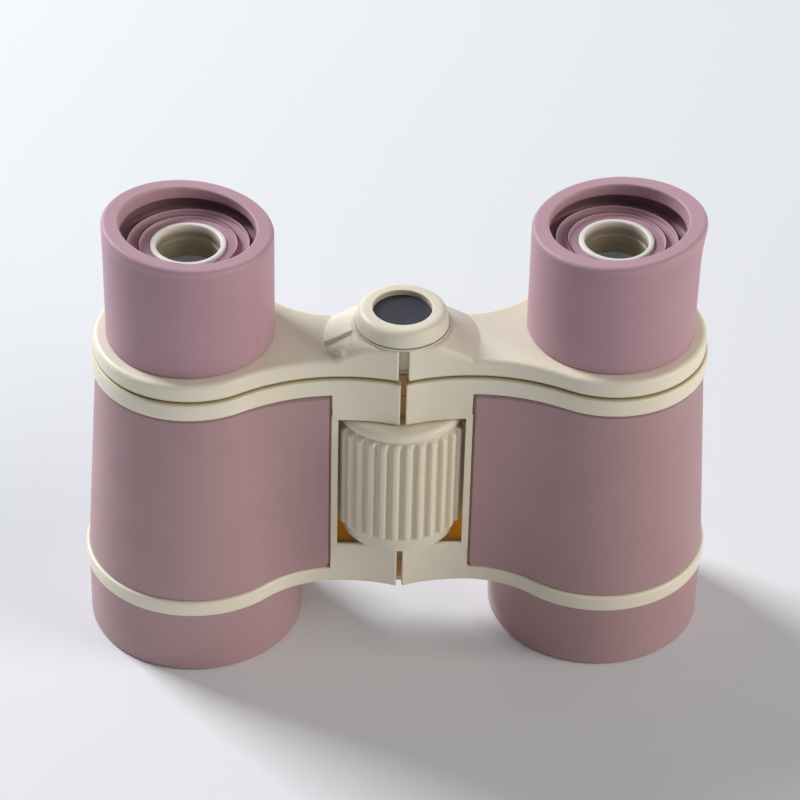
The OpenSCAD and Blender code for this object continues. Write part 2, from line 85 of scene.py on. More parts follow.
back = np.array([np.sin(TURN) * np.cos(HEIGHT), -np.cos(TURN) * np.cos(HEIGHT), np.sin(HEIGHT)])
level = np.array([np.cos(TURN), np.sin(TURN), 0.0])
above = np.cross(back, level)
right = np.cos(LEAN) * level + np.sin(LEAN) * above
upward = np.cos(LEAN) * above - np.sin(LEAN) * level

lens = bpy.data.cameras.new("photo_camera")
lens.sensor_width = 36.0
lens.lens = FOCAL_PIXELS * lens.sensor_width / PHOTO_PIXELS
lens.clip_start, lens.clip_end = 0.01, 20.0
camera = bpy.data.objects.new("photo_camera", lens)
stand(camera, (right, upward, back), (AIM + DISTANCE * back) * MM)
scene.camera = camera
print(f"camera with a {lens.lens:.0f} mm lens")

# %% [markdown]
# ## Surfaces from grids
# Every new piece is a grid of points that numpy works out at once. A grid becomes a closed skin in one
# of three ways: its rows meet and make a ring, its ends close to a point, or its ends close as a strip.
# A skin whose volume comes out negative is inside out, so its faces are turned round.


# %% From a grid to a skin
def skin(grid, ends="ring"):
    """Faces over a grid of points of shape (rows, columns, 3), whose columns always meet.
    ends "ring": the last row meets the first. "poles": each end row closes to its middle.
    "strip": the columns are a flat loop, and each end closes by joining its two sides."""
    rows, columns = grid.shape[:2]
    index = np.arange(rows * columns).reshape(rows, columns)
    points = grid.reshape(-1, 3)
    here = index if ends == "ring" else index[:-1]
    there = np.roll(index, -1, 0) if ends == "ring" else index[1:]
    faces = [np.stack([here, np.roll(here, -1, 1), np.roll(there, -1, 1), there], -1).reshape(-1, 4)]
    if ends == "poles":
        points = np.vstack([points, grid[0].mean(0), grid[-1].mean(0)])
        low = np.full(columns, rows * columns)
        faces.append(np.stack([low, np.roll(index[0], -1), index[0]], -1))
        faces.append(np.stack([low + 1, index[-1], np.roll(index[-1], -1)], -1))
    if ends == "strip":
        side = np.arange(columns // 2 - 1)
        loop = np.stack([side, columns - 1 - side, columns - 2 - side, side + 1], -1)
        faces += [index[0][loop], index[-1][loop[:, ::-1]]]
    middle = points - points.mean(0)
    fans = np.concatenate([f[:, [0, k, k + 1]] for f in faces for k in range(1, f.shape[1] - 1)])
    a, b, c = (middle[fans[:, k]] for k in range(3))
    if (a * np.cross(b, c)).sum() < 0:
        faces = [f[:, ::-1] for f in faces]
    return points, faces


def flipped(shell, signs):
    """The same skin with the sign of one axis changed, and its faces turned round."""
    points, faces = shell
    return points * signs, [f[:, ::-1] for f in faces]


def piece(name, shells, material, body, slot, *nodes, crisp=40):
    """One object from several skins. It rides on a body and stands for CAD nodes. Folds of more than
    crisp degrees stay sharp."""
    starts = np.cumsum([0] + [len(points) for points, _ in shells])
    points = np.concatenate([points for points, _ in shells]) * MM
    shifted = [f + start for (_, parts), start in zip(shells, starts) for f in parts]
    faces = [face for f in shifted for face in f.tolist()]
    mesh = bpy.data.meshes.new(name)
    mesh.from_pydata(points, [], faces)
    mesh.shade_smooth()
    mesh.set_sharp_from_angle(angle=np.radians(crisp))
    mesh.materials.append(material)
    made = bpy.data.objects.new(name, mesh)
    scene.collection.objects.link(made)
    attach(made, body)
    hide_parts(*nodes)
    print(f"{name}: {len(faces)} faces, {np.round(np.ptp(points, axis=0) / MM, 1)} mm")


print("helpers: skin, flipped, piece")

# %% [markdown]
# ## Turned pieces and rounded corners
# Eyecups, sleeves, tubes and the cap are turned: a closed profile of radius and height goes round an
# axis. Moulded corners are never sharp, so each corner of a profile gets its own small arc. A support
# point just beyond each arc keeps the flat beside it flat when Blender smooths the shading.

# %% Turned pieces
SUPPORT = 0.12


def unit(v):
    """Vectors divided by their own lengths."""
    return v / np.linalg.norm(v, axis=-1, keepdims=True)


def rounded(corners, steps=7):
    """A closed profile from rows of (radius, height, corner radius). With half the angle h at a corner,
    the arc's centre is radius / sin h along the corner's middle line, and it touches the sides
    radius / tan h from the corner."""
    table = np.array(corners, float)
    corner, radius = table[:, :2], table[:, 2:]
    last, following = unit(np.roll(corner, 1, 0) - corner), unit(np.roll(corner, -1, 0) - corner)
    half = np.arccos((last * following).sum(1, keepdims=True)) / 2
    touch, sweep = radius / np.tan(half), np.pi - 2 * half
    centre = corner + unit(last + following) * radius / np.sin(half)
    start, stop = corner + last * touch - centre, corner + following * touch - centre
    t = np.linspace(0, 1, steps)[:, None, None]
    arcs = centre + (np.sin((1 - t) * sweep) * start + np.sin(t * sweep) * stop) / np.sin(sweep)
    before, after = corner + last * (touch + SUPPORT), corner + following * (touch + SUPPORT)
    return np.concatenate([before[None], arcs, after[None]]).transpose(1, 0, 2).reshape(-1, 2)


def turned(profile, x=HALF_SPACING, y=0.0, count=192, slant=0.0, toward=0.0, ends="ring"):
    """A profile of (radius r, height z) carried round an axis: (x + r cos a, y + r sin a, z + lift), with
    lift = slant r cos(a - toward). slant is one number for each point of the profile."""
    a = np.linspace(0, 2 * np.pi, count, endpoint=False)
    r, z = profile[:, :1], profile[:, 1:]
    lift = np.broadcast_to(slant, len(profile))[:, None] * r * np.cos(a - toward)
    return skin(np.stack([x + r * np.cos(a), y + r * np.sin(a), z + lift], -1), ends)


print("support points lie", SUPPORT, "mm beyond each arc")

# %% [markdown]
# ## Outlines of the bridge
# Seen from above, each half is a circle round its barrel, drawn in to a waist and flared again towards
# the hinge. The curve from barrel to waist is an arc that touches both. An outline is first cut into
# fine equal steps; a moving average along them rounds its corners; and then it keeps many points where
# it bends and few where it is straight.

# %% Outlines
FINE, STEP, END_POINTS, ROUND_POINTS = 0.05, 0.35, 60, 200


def blend_radius(r, depth):
    """Radius of the arc that touches a barrel of radius r and, at the waist, a line at that depth."""
    span = HALF_SPACING - WAIST_X
    return (span**2 + depth**2 - r**2) / (2 * (r - depth))


def waist_depth(x, r, depth):
    """Depth of the waist's edge at x: the depth plus the rise of an arc, flared or blended."""
    bend = np.where(x < WAIST_X, FLARE_R, blend_radius(r, depth))
    return depth + bend - np.sqrt(bend**2 - (x - WAIST_X) ** 2)


def round_barrel(r, front, behind, x_front, x_behind, ease=None):
    """The outline from x_front in front of the waist, round the barrel, to x_behind at the back.
    r may be a column of radii, which gives a row of points for each. ease spaces the two ends."""
    r = np.reshape(r, (-1, 1)).astype(float)
    share = np.linspace(0, 1, END_POINTS)[None] if ease is None else ease[None]
    first = np.arctan2(-front - blend_radius(r, front), WAIST_X - HALF_SPACING)
    second = np.arctan2(behind + blend_radius(r, behind), WAIST_X - HALF_SPACING)
    turn = first + (second - first) * np.linspace(0, 1, ROUND_POINTS)[None, 1:-1]
    ahead = x_front + (HALF_SPACING + r * np.cos(first) - x_front) * share
    after = x_behind + (HALF_SPACING + r * np.cos(second) - x_behind) * share[:, ::-1]
    x = np.concatenate([ahead, HALF_SPACING + r * np.cos(turn), after], 1)
    y_ahead, y_after = -waist_depth(ahead, r, front), waist_depth(after, r, behind)
    y = np.concatenate([y_ahead, r * np.sin(turn), y_after], 1)
    return np.stack([x, y], -1)


def hinge_arc(r, start, stop, count=60):
    """Points of a circle round the hinge axis, from one angle to another, in degrees."""
    a = np.radians(np.linspace(start, stop, count))
    return np.stack([r * np.cos(a), HINGE_Y + r * np.sin(a)], -1)


lip_blends = [blend_radius(r, WAIST_FRONT) for r in (TOP_LIP_R, BOTTOM_LIP_R)]
print("waist blend radii:", np.round(lip_blends, 1), "mm")


# %% Even points along an outline
def softened(points, width):
    """A loop of fine equal steps with round corners: each point becomes the mean of its neighbours within
    the width, twice over, as a product of Fourier series."""
    count = len(points)
    box = (np.minimum(np.arange(count), count - np.arange(count)) * FINE <= width / 2).astype(float)
    box /= box.sum()
    series = np.fft.fft(points, axis=0) * np.fft.fft(box)[:, None] ** 2
    return np.fft.ifft(series, axis=0).real


def spaced(points, measure, count):
    """A closed loop cut anew into count points, at equal amounts of a measure that grows along it."""
    loop = np.vstack([points, points[:1]])
    t = np.linspace(0, measure[-1], count, endpoint=False)
    return np.stack([np.interp(t, measure, loop[:, k]) for k in (0, 1)], -1)


def traced(points, soft, detail=lambda x, y: 0 * x):
    """A closed outline with round corners. With the curvature k it has 1 / STEP + 6 k + detail(x, y)
    points in a millimetre."""
    steps = np.linalg.norm(np.roll(points, -1, 0) - points, axis=1)
    length = np.concatenate([[0], np.cumsum(steps)])
    fine = softened(spaced(points, length, int(length[-1] / FINE)), soft)
    tangent = np.roll(fine, -1, 0) - np.roll(fine, 1, 0)
    angle = np.arctan2(tangent[:, 1], tangent[:, 0])
    bend = np.abs(np.angle(np.exp(1j * (np.roll(angle, -1) - angle)))) / FINE
    density = 1 / STEP + softened((6 * bend + detail(*fine.T))[:, None], 0.3)[:, 0]
    measure = np.concatenate([[0], np.cumsum(density * FINE)])
    return spaced(fine, measure, int(measure[-1]))


print("a straight outline has a point every", STEP, "mm")


# %% Outline of one half
def wedge_x(r, behind):
    """Where the waist's back edge meets the line that opens behind the hinge, found by repeating
    x = tan(angle) (depth - hinge y)."""
    x = 3.0
    for _ in range(12):
        x = np.tan(np.radians(BACK_HALF_ANGLE)) * (waist_depth(x, r, behind) - HINGE_Y)
    return x


def half_outline(r, front, behind, gap, soft, detail):
    """One half from the front gap round the barrel to the back, and along the hollow at the hinge."""
    path = round_barrel(r, front, behind, gap / 2, wedge_x(r, behind))[0]
    front_end = -np.degrees(np.arccos(gap / 2 / KNUCKLE_ROOM))
    hollow = hinge_arc(KNUCKLE_ROOM, 90 - BACK_HALF_ANGLE, front_end)
    return traced(np.vstack([path, hollow]), soft, detail)


print("the back edge of an arm starts at x =", np.round(wedge_x(ARM_R, WAIST_BACK), 2), "mm")

# %% [markdown]
# ## Plates with rounded edges
# Lips and arms are plates cut to an outline. A plate could be an extrusion with a bevel, but a bevel
# breaks where curves meet at a slant. Here rows of points run from an inner loop along the underside,
# round the lower edge, up the side, round the upper edge and back over the top. The edge is round by
# construction, its radius may change along the outline, and a height can be added to the top for a boss
# or a step. The inner loop is a bored hole, or a line up the middle of the waist that ends in the hole.

# %% Inner and outer loops
MIDDLE_START, NEAR_HINGE_X, NEAR_BARREL_X = (7.2, -2.6), 8.0, 15.0


def outward(points):
    """Unit normals of a closed outline that runs anticlockwise: the tangent turned a quarter right."""
    tangent = unit(np.roll(points, -1, 0) - np.roll(points, 1, 0))
    return np.stack([tangent[:, 1], -tangent[:, 0]], -1)


def round_hole(outline, centre, hole):
    """An inner loop: the points of a circle at the same bearings as the outline's points."""
    bearing = np.arctan2(*(outline - centre).T[::-1])
    return centre + hole * np.stack([np.cos(bearing), np.sin(bearing)], -1)


def middle_line(outline, hole, start=MIDDLE_START):
    """An inner loop: from start along the waist to the barrel's hole, once round it and back again.
    Points of the outline at a few places are given their places on it, and the rest lie between."""
    x, bearing = outline[:, 0], np.arctan2(outline[:, 1], outline[:, 0] - HALF_SPACING)
    half, side = len(x) // 2, np.radians(100)
    going = [x > NEAR_HINGE_X, x > NEAR_BARREL_X, (bearing > -side) & (bearing < 0)]
    coming = [bearing[half:] > side, x[half:] < NEAR_BARREL_X, x[half:] < NEAR_HINGE_X]
    marks, ends = np.argmax(going, 1), half + np.argmax(coming, 1)
    a = np.linspace(-np.pi, np.pi, 400)
    ring = np.stack([HALF_SPACING + hole * np.cos(a), hole * np.sin(a)], -1)
    waist = np.linalg.norm(ring[0] - start)
    length = np.concatenate([[0], waist + hole * (a + np.pi), [2 * waist + 2 * np.pi * hole]])
    near, far = waist + hole * (np.pi - side), waist + hole * (np.pi + side)
    goal = [0, 0, waist, near, far, length[-1] - waist, length[-1], length[-1]]
    place = np.interp(np.arange(len(x)), [0, *marks, *ends, len(x)], goal)
    path = np.vstack([start, ring, start])
    return np.stack([np.interp(place, length, path[:, k]) for k in (0, 1)], -1)


print("the inner loops of lips and arms start at", MIDDLE_START, "mm")


# %% Plates
def on_circle(plan, r):
    """A grid of points in which the points next to a circle round the hinge are moved onto it, so that a
    fold there runs along edges of the grid. A point is next to it if a neighbour is across and
    farther."""
    hinge = np.array([0.0, HINGE_Y])
    away = np.linalg.norm(plan - hinge, axis=-1) - r
    framed = np.pad(away, ((1, 1), (0, 0)), "edge")
    near = np.zeros(away.shape, bool)
    for other in (framed[:-2], framed[2:], np.roll(away, 1, 1), np.roll(away, -1, 1)):
        near |= (away * other < 0) & (np.abs(away) <= np.abs(other))
    return hinge + (plan - hinge) * np.where(near, r / (away + r), 1.0)[..., None]


def plate(outline, inner, low, high, edge_low, edge_high, swell=None, rows=8, ends="ring", fold=None):
    """A plate from z = low to high + swell(x, y). On an edge of radius e, rows lie e (1 - sin a) inside
    the outline and e (1 - cos a) from the face. fold is the radius round the hinge of a fold on top."""
    normal, a = outward(outline), np.linspace(0, np.pi / 2, 7)[:, None]

    def edge(radius):
        e = radius + np.zeros(len(outline))
        inset = np.vstack([e + SUPPORT, e * (1 - np.sin(a)), 0 * e])
        return outline - inset[..., None] * normal, np.vstack([0 * e, e * (1 - np.cos(a)), e + SUPPORT])

    (lower, rise), (upper, drop) = edge(edge_low), edge(edge_high)
    share = np.linspace(0, 1, 8, endpoint=False)[:, None, None]
    below = inner + (lower[0] - inner) * share
    share = np.linspace(1, 0, rows + 1)[1:, None, None]
    cover = inner + (upper[0] - inner) * share
    cover = cover if fold is None else on_circle(cover, fold)
    top = np.concatenate([upper[::-1], cover])
    top_z = high - np.vstack([drop[::-1], np.zeros(cover.shape[:2])])
    if swell:
        top_z = top_z + swell(top[..., 0], top[..., 1])
    plan = np.concatenate([below, lower, top])
    z = np.vstack([low + np.zeros(below.shape[:2]), low + rise, top_z])
    return skin(np.dstack([plan, z]), ends)


print("helpers: on_circle, plate")

# %% [markdown]
# ## Shader arithmetic
# A material is a small formula over the surface. The class below wraps a node's output, so that a sum
# or a product of outputs is written as in any Python formula, and one method adds every other kind of
# node: its settings first, then the values or links of its inputs.


# %% Shader arithmetic
class Wire:
    """An output of a node. Arithmetic on wires and numbers adds Math nodes."""

    def __init__(self, socket):
        self.socket = socket

    def node(self, kind, settings=None, inputs=None, output=0):
        """A new node in the same material: its settings are set first, then its inputs."""
        made = self.socket.id_data.nodes.new(kind)
        for name, value in (settings or {}).items():
            setattr(made, name, value)
        for name, value in (inputs or {}).items():
            if isinstance(value, Wire):
                self.socket.id_data.links.new(value.socket, made.inputs[name])
            else:
                made.inputs[name].default_value = value
        return Wire(made.outputs[output])

    def math(self, operation, first, second):
        """A Math node on two values."""
        return self.node("ShaderNodeMath", {"operation": operation}, {0: first, 1: second})

    def __add__(self, other):
        return self.math("ADD", self, other)

    def __sub__(self, other):
        return self.math("SUBTRACT", self, other)

    def __rsub__(self, other):
        return self.math("SUBTRACT", other, self)

    def __mul__(self, other):
        return self.math("MULTIPLY", self, other)

    def __pow__(self, other):
        return self.math("POWER", self, other)

    def __rpow__(self, other):
        return self.math("POWER", other, self)

    __radd__, __rmul__ = __add__, __mul__

    def __abs__(self):
        return self.math("ABSOLUTE", self, 0.0)

    def most(self, other):
        """The larger of two."""
        return self.math("MAXIMUM", self, other)

    def ramp(self, low, high):
        """0 below low, 1 above high and a smooth step between; low may be above high."""
        settings = {"interpolation_type": "SMOOTHSTEP"}
        inputs = {"Value": self, "From Min": low, "From Max": high}
        return self.node("ShaderNodeMapRange", settings, inputs)

    def band(self, start, full, fade, end):
        """1 between full and fade, with a smooth step to 0 at start and at end."""
        return self.ramp(start, full) * self.ramp(end, fade)

    def noise(self, scale, detail):
        """Noise over these coordinates, from 0 to 1."""
        inputs = {"Vector": self, "Scale": scale, "Detail": detail}
        return self.node("ShaderNodeTexNoise", None, inputs)

    def mix(self, first, second):
        """A colour between two, by this wire."""
        return self.node("ShaderNodeMix", {"data_type": "RGBA"}, {0: self, 6: first, 7: second}, 2)

    def parts(self):
        """The x, y and z of these coordinates."""
        apart = self.node("ShaderNodeSeparateXYZ", None, {"Vector": self}).socket.node
        return [Wire(socket) for socket in apart.outputs]

    def bump(self, depth, strength):
        """A normal from this height, in units of depth metres."""
        inputs = {"Height": self, "Distance": depth, "Strength": strength}
        return self.node("ShaderNodeBump", None, inputs)


print("helper: Wire")


# %% Distances and materials
def hypot(a, b):
    """Length of two coordinates together: sqrt(a^2 + b^2)."""
    return (a * a + b * b) ** 0.5


def from_barrel(x, y):
    """Distance from the axis of the nearer barrel, in metres."""
    return hypot(abs(x) - HALF_SPACING * MM, y)


def from_hinge(x, y):
    """Distance from the hinge axis, in metres."""
    return hypot(x, y - HINGE_Y * MM)


def finish(name, constants, recipe):
    """A material on Blender's Principled shader. constants are set on its sockets, and recipe turns
    Object coordinates into a dictionary of sockets that change over the surface."""
    made = bpy.data.materials.new(name)
    made.use_nodes = True
    nodes, links = made.node_tree.nodes, made.node_tree.links
    shader = nodes["Principled BSDF"]
    for socket, value in constants.items():
        shader.inputs[socket].default_value = value
    at = Wire(nodes.new("ShaderNodeTexCoord").outputs["Object"])
    for socket, wire in recipe(at).items():
        links.new(wire.socket, shader.inputs[socket])
    print("finish", name, "of", len(nodes), "nodes")
    return made


print("helpers: hypot, from_barrel, from_hinge, finish")

# %% [markdown]
# ## Pink rubber
# The grips, sleeves and eyecups are a matt, soft-touch rubber in dusty pink, a little browner on the
# grips than on the cups. Up close it has a fine grain, its colour drifts from place to place, and there
# are a few faint specks. Painted shade makes the recess under an eyecup's rim nearly dark, a painted
# highlight makes the rim and the crests of the ridges inside the cup pale, and a thin line of painted
# shade lies where a grip meets the lip above it.

# %% Pink rubber
CUP_PINK, GRIP_PINK = (0.485, 0.277, 0.320, 1), (0.456, 0.278, 0.282, 1)
WORN_PINK, HIGHLIGHT_PINK, SPECK = (0.30, 0.17, 0.19, 1), (0.66, 0.45, 0.50, 1), (0.20, 0.11, 0.13, 1)
RECESS_SHADE, LIP_SHADE = (0.09, 0.035, 0.045, 1), (0.15, 0.075, 0.07, 1)


def rubber(at):
    """Grip pink below the arms and cup pink above, worn in clouds. Specks, painted shade in the recess,
    the painted highlight on the crests and the rim, and the painted shade line under the lip are laid
    over it in turn."""
    x, y, z = at.parts()
    away = from_barrel(x, y)
    cloud = at.noise(90.0, 3.0)
    grain = at.noise(2600.0, 2.0)
    specks = at.noise(420.0, 1.0).ramp(0.76, 0.80)
    # Painted shade: the recess under the rim is darkened nearly to black.
    recess = away.band(0.0100, 0.0108, 0.0119, 0.0121) * z.band(0.0707, 0.0716, 0.0729, 0.0738)
    # Painted highlight: the crests of the ridges inside the cup and the top of the rim are made paler.
    crest = z.band(0.0718, 0.0721, 0.0724, 0.0727) * away.ramp(0.0100, 0.0098)
    painted_highlight = (0.55 * crest).most(0.16 * z.ramp(0.0738, 0.0750))
    # Painted shade: a thin dark line on the grip just under the lip above it.
    under_lip = z.band(0.0486, 0.0490, 0.0497, 0.0500)
    pink = z.ramp(0.054, 0.056).mix(GRIP_PINK, CUP_PINK)
    colour = (0.12 * cloud.ramp(0.3, 0.7)).mix(pink, WORN_PINK)
    colour = (0.15 * specks).mix(colour, SPECK)
    colour = (0.7 * recess).mix(colour, RECESS_SHADE)
    colour = painted_highlight.mix(colour, HIGHLIGHT_PINK)
    colour = (0.55 * under_lip).mix(colour, LIP_SHADE)
    rough = 0.47 + 0.10 * cloud + 0.06 * grain
    return {"Base Color": colour, "Roughness": rough, "Normal": grain.bump(0.00003, 0.35)}


pink_rubber = finish("pink_rubber", {"Sheen Weight": 0.08, "Sheen Roughness": 0.4}, rubber)

# %% [markdown]
# ## Cream plastic
# The bridges, lips and roller are moulded in a cream plastic with a low gloss. A little light goes into
# it, which warms the shaded places, and its colour drifts very slightly from place to place.

# %% Cream plastic
CREAM, WARM_CREAM = (0.88, 0.805, 0.645, 1), (0.855, 0.77, 0.595, 1)


def moulded(at):
    """Cream that drifts to a warmer cream, with a fine grain."""
    cloud = at.noise(70.0, 2.0)
    grain = at.noise(3000.0, 2.0)
    rough = 0.36 + 0.10 * cloud + 0.04 * grain
    return {
        "Base Color": cloud.ramp(0.25, 0.75).mix(CREAM, WARM_CREAM),
        "Roughness": rough,
        "Normal": grain.bump(0.00002, 0.2),
    }


SOFT_LIGHT = {
    "Subsurface Weight": 0.12,
    "Subsurface Radius": (0.0022, 0.0014, 0.0006),
    "Subsurface Scale": 1.0,
}
cream_plastic = finish("cream_plastic", SOFT_LIGHT, moulded)

# %% [markdown]
# ## Housing plastic
# Inside the roller's pocket the same cream plastic looks amber, as if the light had come through its
# wall, and the narrow slits at the hinge and beside the grips look brown. Light through a thin wall could
# be traced, but that takes many samples, so a weak painted glow stands for it, and tints of painted shade
# darken these places. The tints lie over the moulding and move with it: one for the pocket, one for the
# slits and the front of the hinge, and one for the edges that face each other in the seam under the arms.

# %% Housing plastic
AMBER, DARK_AMBER, BROWN = (0.60, 0.24, 0.0, 1), (0.20, 0.09, 0.004, 1), (0.60, 0.45, 0.26, 1)
SEAM_SHADE_BROWN, HINGE_SHADE_TAN = (0.42, 0.30, 0.11, 1), (0.68, 0.57, 0.40, 1)
UNLIT, GAP_GLOW = (0, 0, 0, 1), (0.36, 0.20, 0.06, 1)


def glowing(at):
    """The moulding with its tints of painted shade and its painted glow. The pocket's painted glow fades
    upwards, towards the left and towards the front edge of the window."""
    sockets = moulded(at)
    x, y, z = at.parts()
    away = from_hinge(x, y)
    in_window = z.band(0.0192, 0.0197, 0.0446, 0.0452)
    pocket = in_window * y.ramp(-0.00905, -0.0088) * away.ramp(0.0124, 0.0120)
    in_front = z.ramp(0.0528, 0.0526) * (y - HINGE_Y * MM).ramp(-0.0030, -0.0042)
    beside_grip = (x * x).ramp(0.01106**2, 0.01109**2) * y.ramp(-0.00929, -0.0092)
    beside_grip = beside_grip * z.band(0.0148, 0.0149, 0.0490, 0.0491)
    # Painted shade: brown in the slits at the hinge and beside the grips, and tan on the front of the
    # hinge; both also get a faint painted glow.
    slit = (in_front * (x * x).ramp(0.00054**2, 0.00044**2)).most(beside_grip)
    hinge = in_front * away.ramp(0.0061, 0.0059)
    # Painted shade: a brown line along the seam where the arm's and the lip's edges face each other.
    seam = z.band(0.0522, 0.0526, 0.0529, 0.0532)
    # Painted shade: the pocket is darkened to a deep amber.
    colour = pocket.mix(sockets["Base Color"], DARK_AMBER)
    colour = (0.75 * seam).mix(colour, SEAM_SHADE_BROWN)
    colour = hinge.mix(colour, HINGE_SHADE_TAN)
    sockets["Base Color"] = slit.mix(colour, BROWN)
    # Painted glow: amber in the pocket, fading upwards, to the left and to the front, and a faint glow in
    # the slits and at the hinge.
    glow = pocket * (0.15 + 0.85 * z.ramp(0.033, 0.022)) * (0.38 + 0.20 * x.ramp(-0.010, 0.010))
    glow = glow * y.ramp(-0.0090, -0.0068)
    gap = 0.2 * slit.most(hinge)
    sockets["Emission Color"] = glow.mix(gap.mix(UNLIT, GAP_GLOW), AMBER)
    return sockets


housing_plastic = finish("housing_plastic", {**SOFT_LIGHT, "Emission Strength": 0.5}, glowing)

# %% [markdown]
# ## Objective sleeves
# A rubber sleeve closes each barrel's wide end, and the toy stands on it. It is a plain ring with a
# well rounded foot.

# %% Objective sleeves
MOUTH_R, SEAT_R, SEAT_Z, SLEEVE_TOP_Z = 14.7, 16.0, 0.97, 11.76


def both_sides(name, right, left, material, body, slot, node, crisp=40):
    """The right and the left piece of a kind. The left one's skins are drawn on the right and mirrored."""
    for side, shells in ("right", right), ("left", [flipped(shell, [-1, 1, 1]) for shell in left]):
        piece(f"{side}_{name}", shells, material, f"{side}_{body}", slot, f"{side}_{node}", crisp=crisp)


sleeve_profile = rounded([
    (MOUTH_R, 0.0, 0.2), (SLEEVE_R, 0.0, 0.6), (SLEEVE_R, SLEEVE_TOP_Z, 0.25),
    (SEAT_R, SLEEVE_TOP_Z, 0.05), (SEAT_R, SEAT_Z, 0.05), (MOUTH_R, SEAT_Z, 0.2),
])
sleeve = [turned(sleeve_profile, count=240)]
both_sides("sleeve", sleeve, sleeve, pink_rubber, "half", "pink_rubber", "objective_sleeve")

# %% [markdown]
# ## Housings
# A housing is a barrel with a lip at each end of the grip. At the hinge each lip thickens into a lug,
# and thin posts between the lugs frame the roller's window. A lip and its lug are one plate whose height
# steps up beside the window, so their front face has no seam. Knuckle rings take turns up the hinge pin.

# %% Barrel, lips and lugs
POST_X, TUBE_HOLE_R, CORNER_SOFT = 11.1, 11.95, 0.5
LUG_STEP_W, LUG_STEP_REACH, LUG_STEP_POINTS = 0.06, 0.15, 25.0
NOSE_R, NOSE_Z, NOSE_TOP_Z, LENS_LEDGE_Z = 15.97, 1.0, 12.4, 6.8
CORE_FOOT_R, CORE_TOP_R, CORE_TOP_Z, CORE_EDGE = 16.05, 13.85, 52.4, 0.1
BORE_FOOT_R, BORE_TOP_R, GUIDE_R = 13.4, 12.45, 12.1
core_outside = [
    (MOUTH_R, NOSE_Z), (NOSE_R, NOSE_Z), (NOSE_R, NOSE_TOP_Z), (CORE_FOOT_R, GRIP_Z),
    (CORE_TOP_R, TOP_LIP_Z), (CORE_TOP_R, CORE_TOP_Z),
]
core_inside = [
    (GUIDE_R, CORE_TOP_Z), (GUIDE_R, WINDOW_TOP_Z), (BORE_TOP_R, WINDOW_TOP_Z),
    (BORE_FOOT_R, LENS_LEDGE_Z), (MOUTH_R, LENS_LEDGE_Z),
]
core_profile = rounded([(r, z, CORE_EDGE) for r, z in core_outside + core_inside])


def soft_step(t, k):
    """0 below 0 and 1 above 1, with corners rounded by k:
    (sqrt(t^2 + k^2) - sqrt((t - 1)^2 + k^2) + 1) / 2."""
    return (np.sqrt(t**2 + k**2) - np.sqrt((t - 1) ** 2 + k**2) + 1) / 2


def lip_and_lug(r, front, hole, low, high, rise, lug_x, edges):
    """A lip with its lug, from z = low to high, or to high + rise where x < lug_x. edges are the radii of
    the lower edge, of the lip's upper edge and of the lug's."""

    def at_step(x, y):
        return LUG_STEP_POINTS * (np.abs(x - lug_x) < LUG_STEP_REACH)

    def lug(x, y):
        return soft_step((lug_x - x) / LUG_STEP_W, 0.05)

    edge_low, edge_lip, edge_lug = edges
    outline = half_outline(r, front, WAIST_BACK, FRONT_GAP, CORNER_SOFT, at_step)
    edge_low = edge_low * np.clip(outline[:, 0] / 2.0, 0.5, 1)
    edge_high = edge_lip + (edge_lug - edge_lip) * lug(*outline.T)
    inner = middle_line(outline, hole)
    return plate(outline, inner, low, high, edge_low, edge_high, lambda x, y: rise * lug(x, y), 12)


print("barrel profile of", len(core_profile), "points")

# %% Waist, posts and knuckles
POST_ROOT, POST_EDGE = 0.8, 0.05
TONGUE, TONGUE_HALF_ANGLE, KNUCKLE_EDGE = 1.1, 50.0, 0.15


def core_outline(inset):
    """The waist under the grip, from the roller's pocket round the barrel."""
    front, behind = WAIST_FRONT - inset, WAIST_BACK - inset
    low, high = np.degrees(np.arcsin([(-front - HINGE_Y) / POCKET_R, (behind - HINGE_Y) / POCKET_R]))
    x_front, x_behind = POCKET_R * np.cos(np.radians([low, high]))
    path = round_barrel(GRIP_TOP_R - inset, front, behind, x_front, x_behind)[0]
    return traced(np.vstack([path, hinge_arc(POCKET_R, high, low)]), 0.2)


def post(depth, sign):
    """A post: the corner between the waist's face, the grip's edge and the round pocket."""
    face = np.degrees(np.arcsin((depth * sign - HINGE_Y) / POCKET_R))
    edge = sign * np.degrees(np.arccos(POST_X / POCKET_R))
    corner = np.array([[POST_X, depth * sign]])
    outline = traced(np.vstack([corner, hinge_arc(POCKET_R, face, edge, 20)])[::sign], 0.2)
    inner = round_hole(outline, np.array([POST_X - 0.35, (depth - 0.45) * sign]), 0.05)
    low, high = WINDOW_Z - POST_ROOT, WINDOW_TOP_Z + POST_ROOT
    return plate(outline, inner, low, high, POST_EDGE, POST_EDGE, None, 2, "poles")


def knuckle(low, high):
    """A knuckle ring, bored for the hinge pin, with a tongue that reaches into its own housing."""
    a = np.radians(np.linspace(-180, 180, 240, endpoint=False))
    r = KNUCKLE_R + TONGUE * (np.abs(a) < np.radians(TONGUE_HALF_ANGLE))
    outline = traced(np.stack([r * np.cos(a), HINGE_Y + r * np.sin(a)], -1), 0.4)
    inner = round_hole(outline, np.array([0, HINGE_Y]), PIN_R)
    return plate(outline, inner, low, high, KNUCKLE_EDGE, KNUCKLE_EDGE, None, 3)


print("knuckles of radius", KNUCKLE_R, "mm, with tongues of", TONGUE, "mm")

# %% Housings
LOW_EDGES, TOP_EDGES = (0.4, 0.45, 0.25), (0.6, 0.45, 0.25)
LOW_HOLE_R, WAIST_HOLE_R, WAIST_START = 15.0, 12.9, (14.0, -2.6)
LOW_SPLIT_Z, TOP_SPLIT_Z, SPLIT = 15.55, 48.5, 0.3


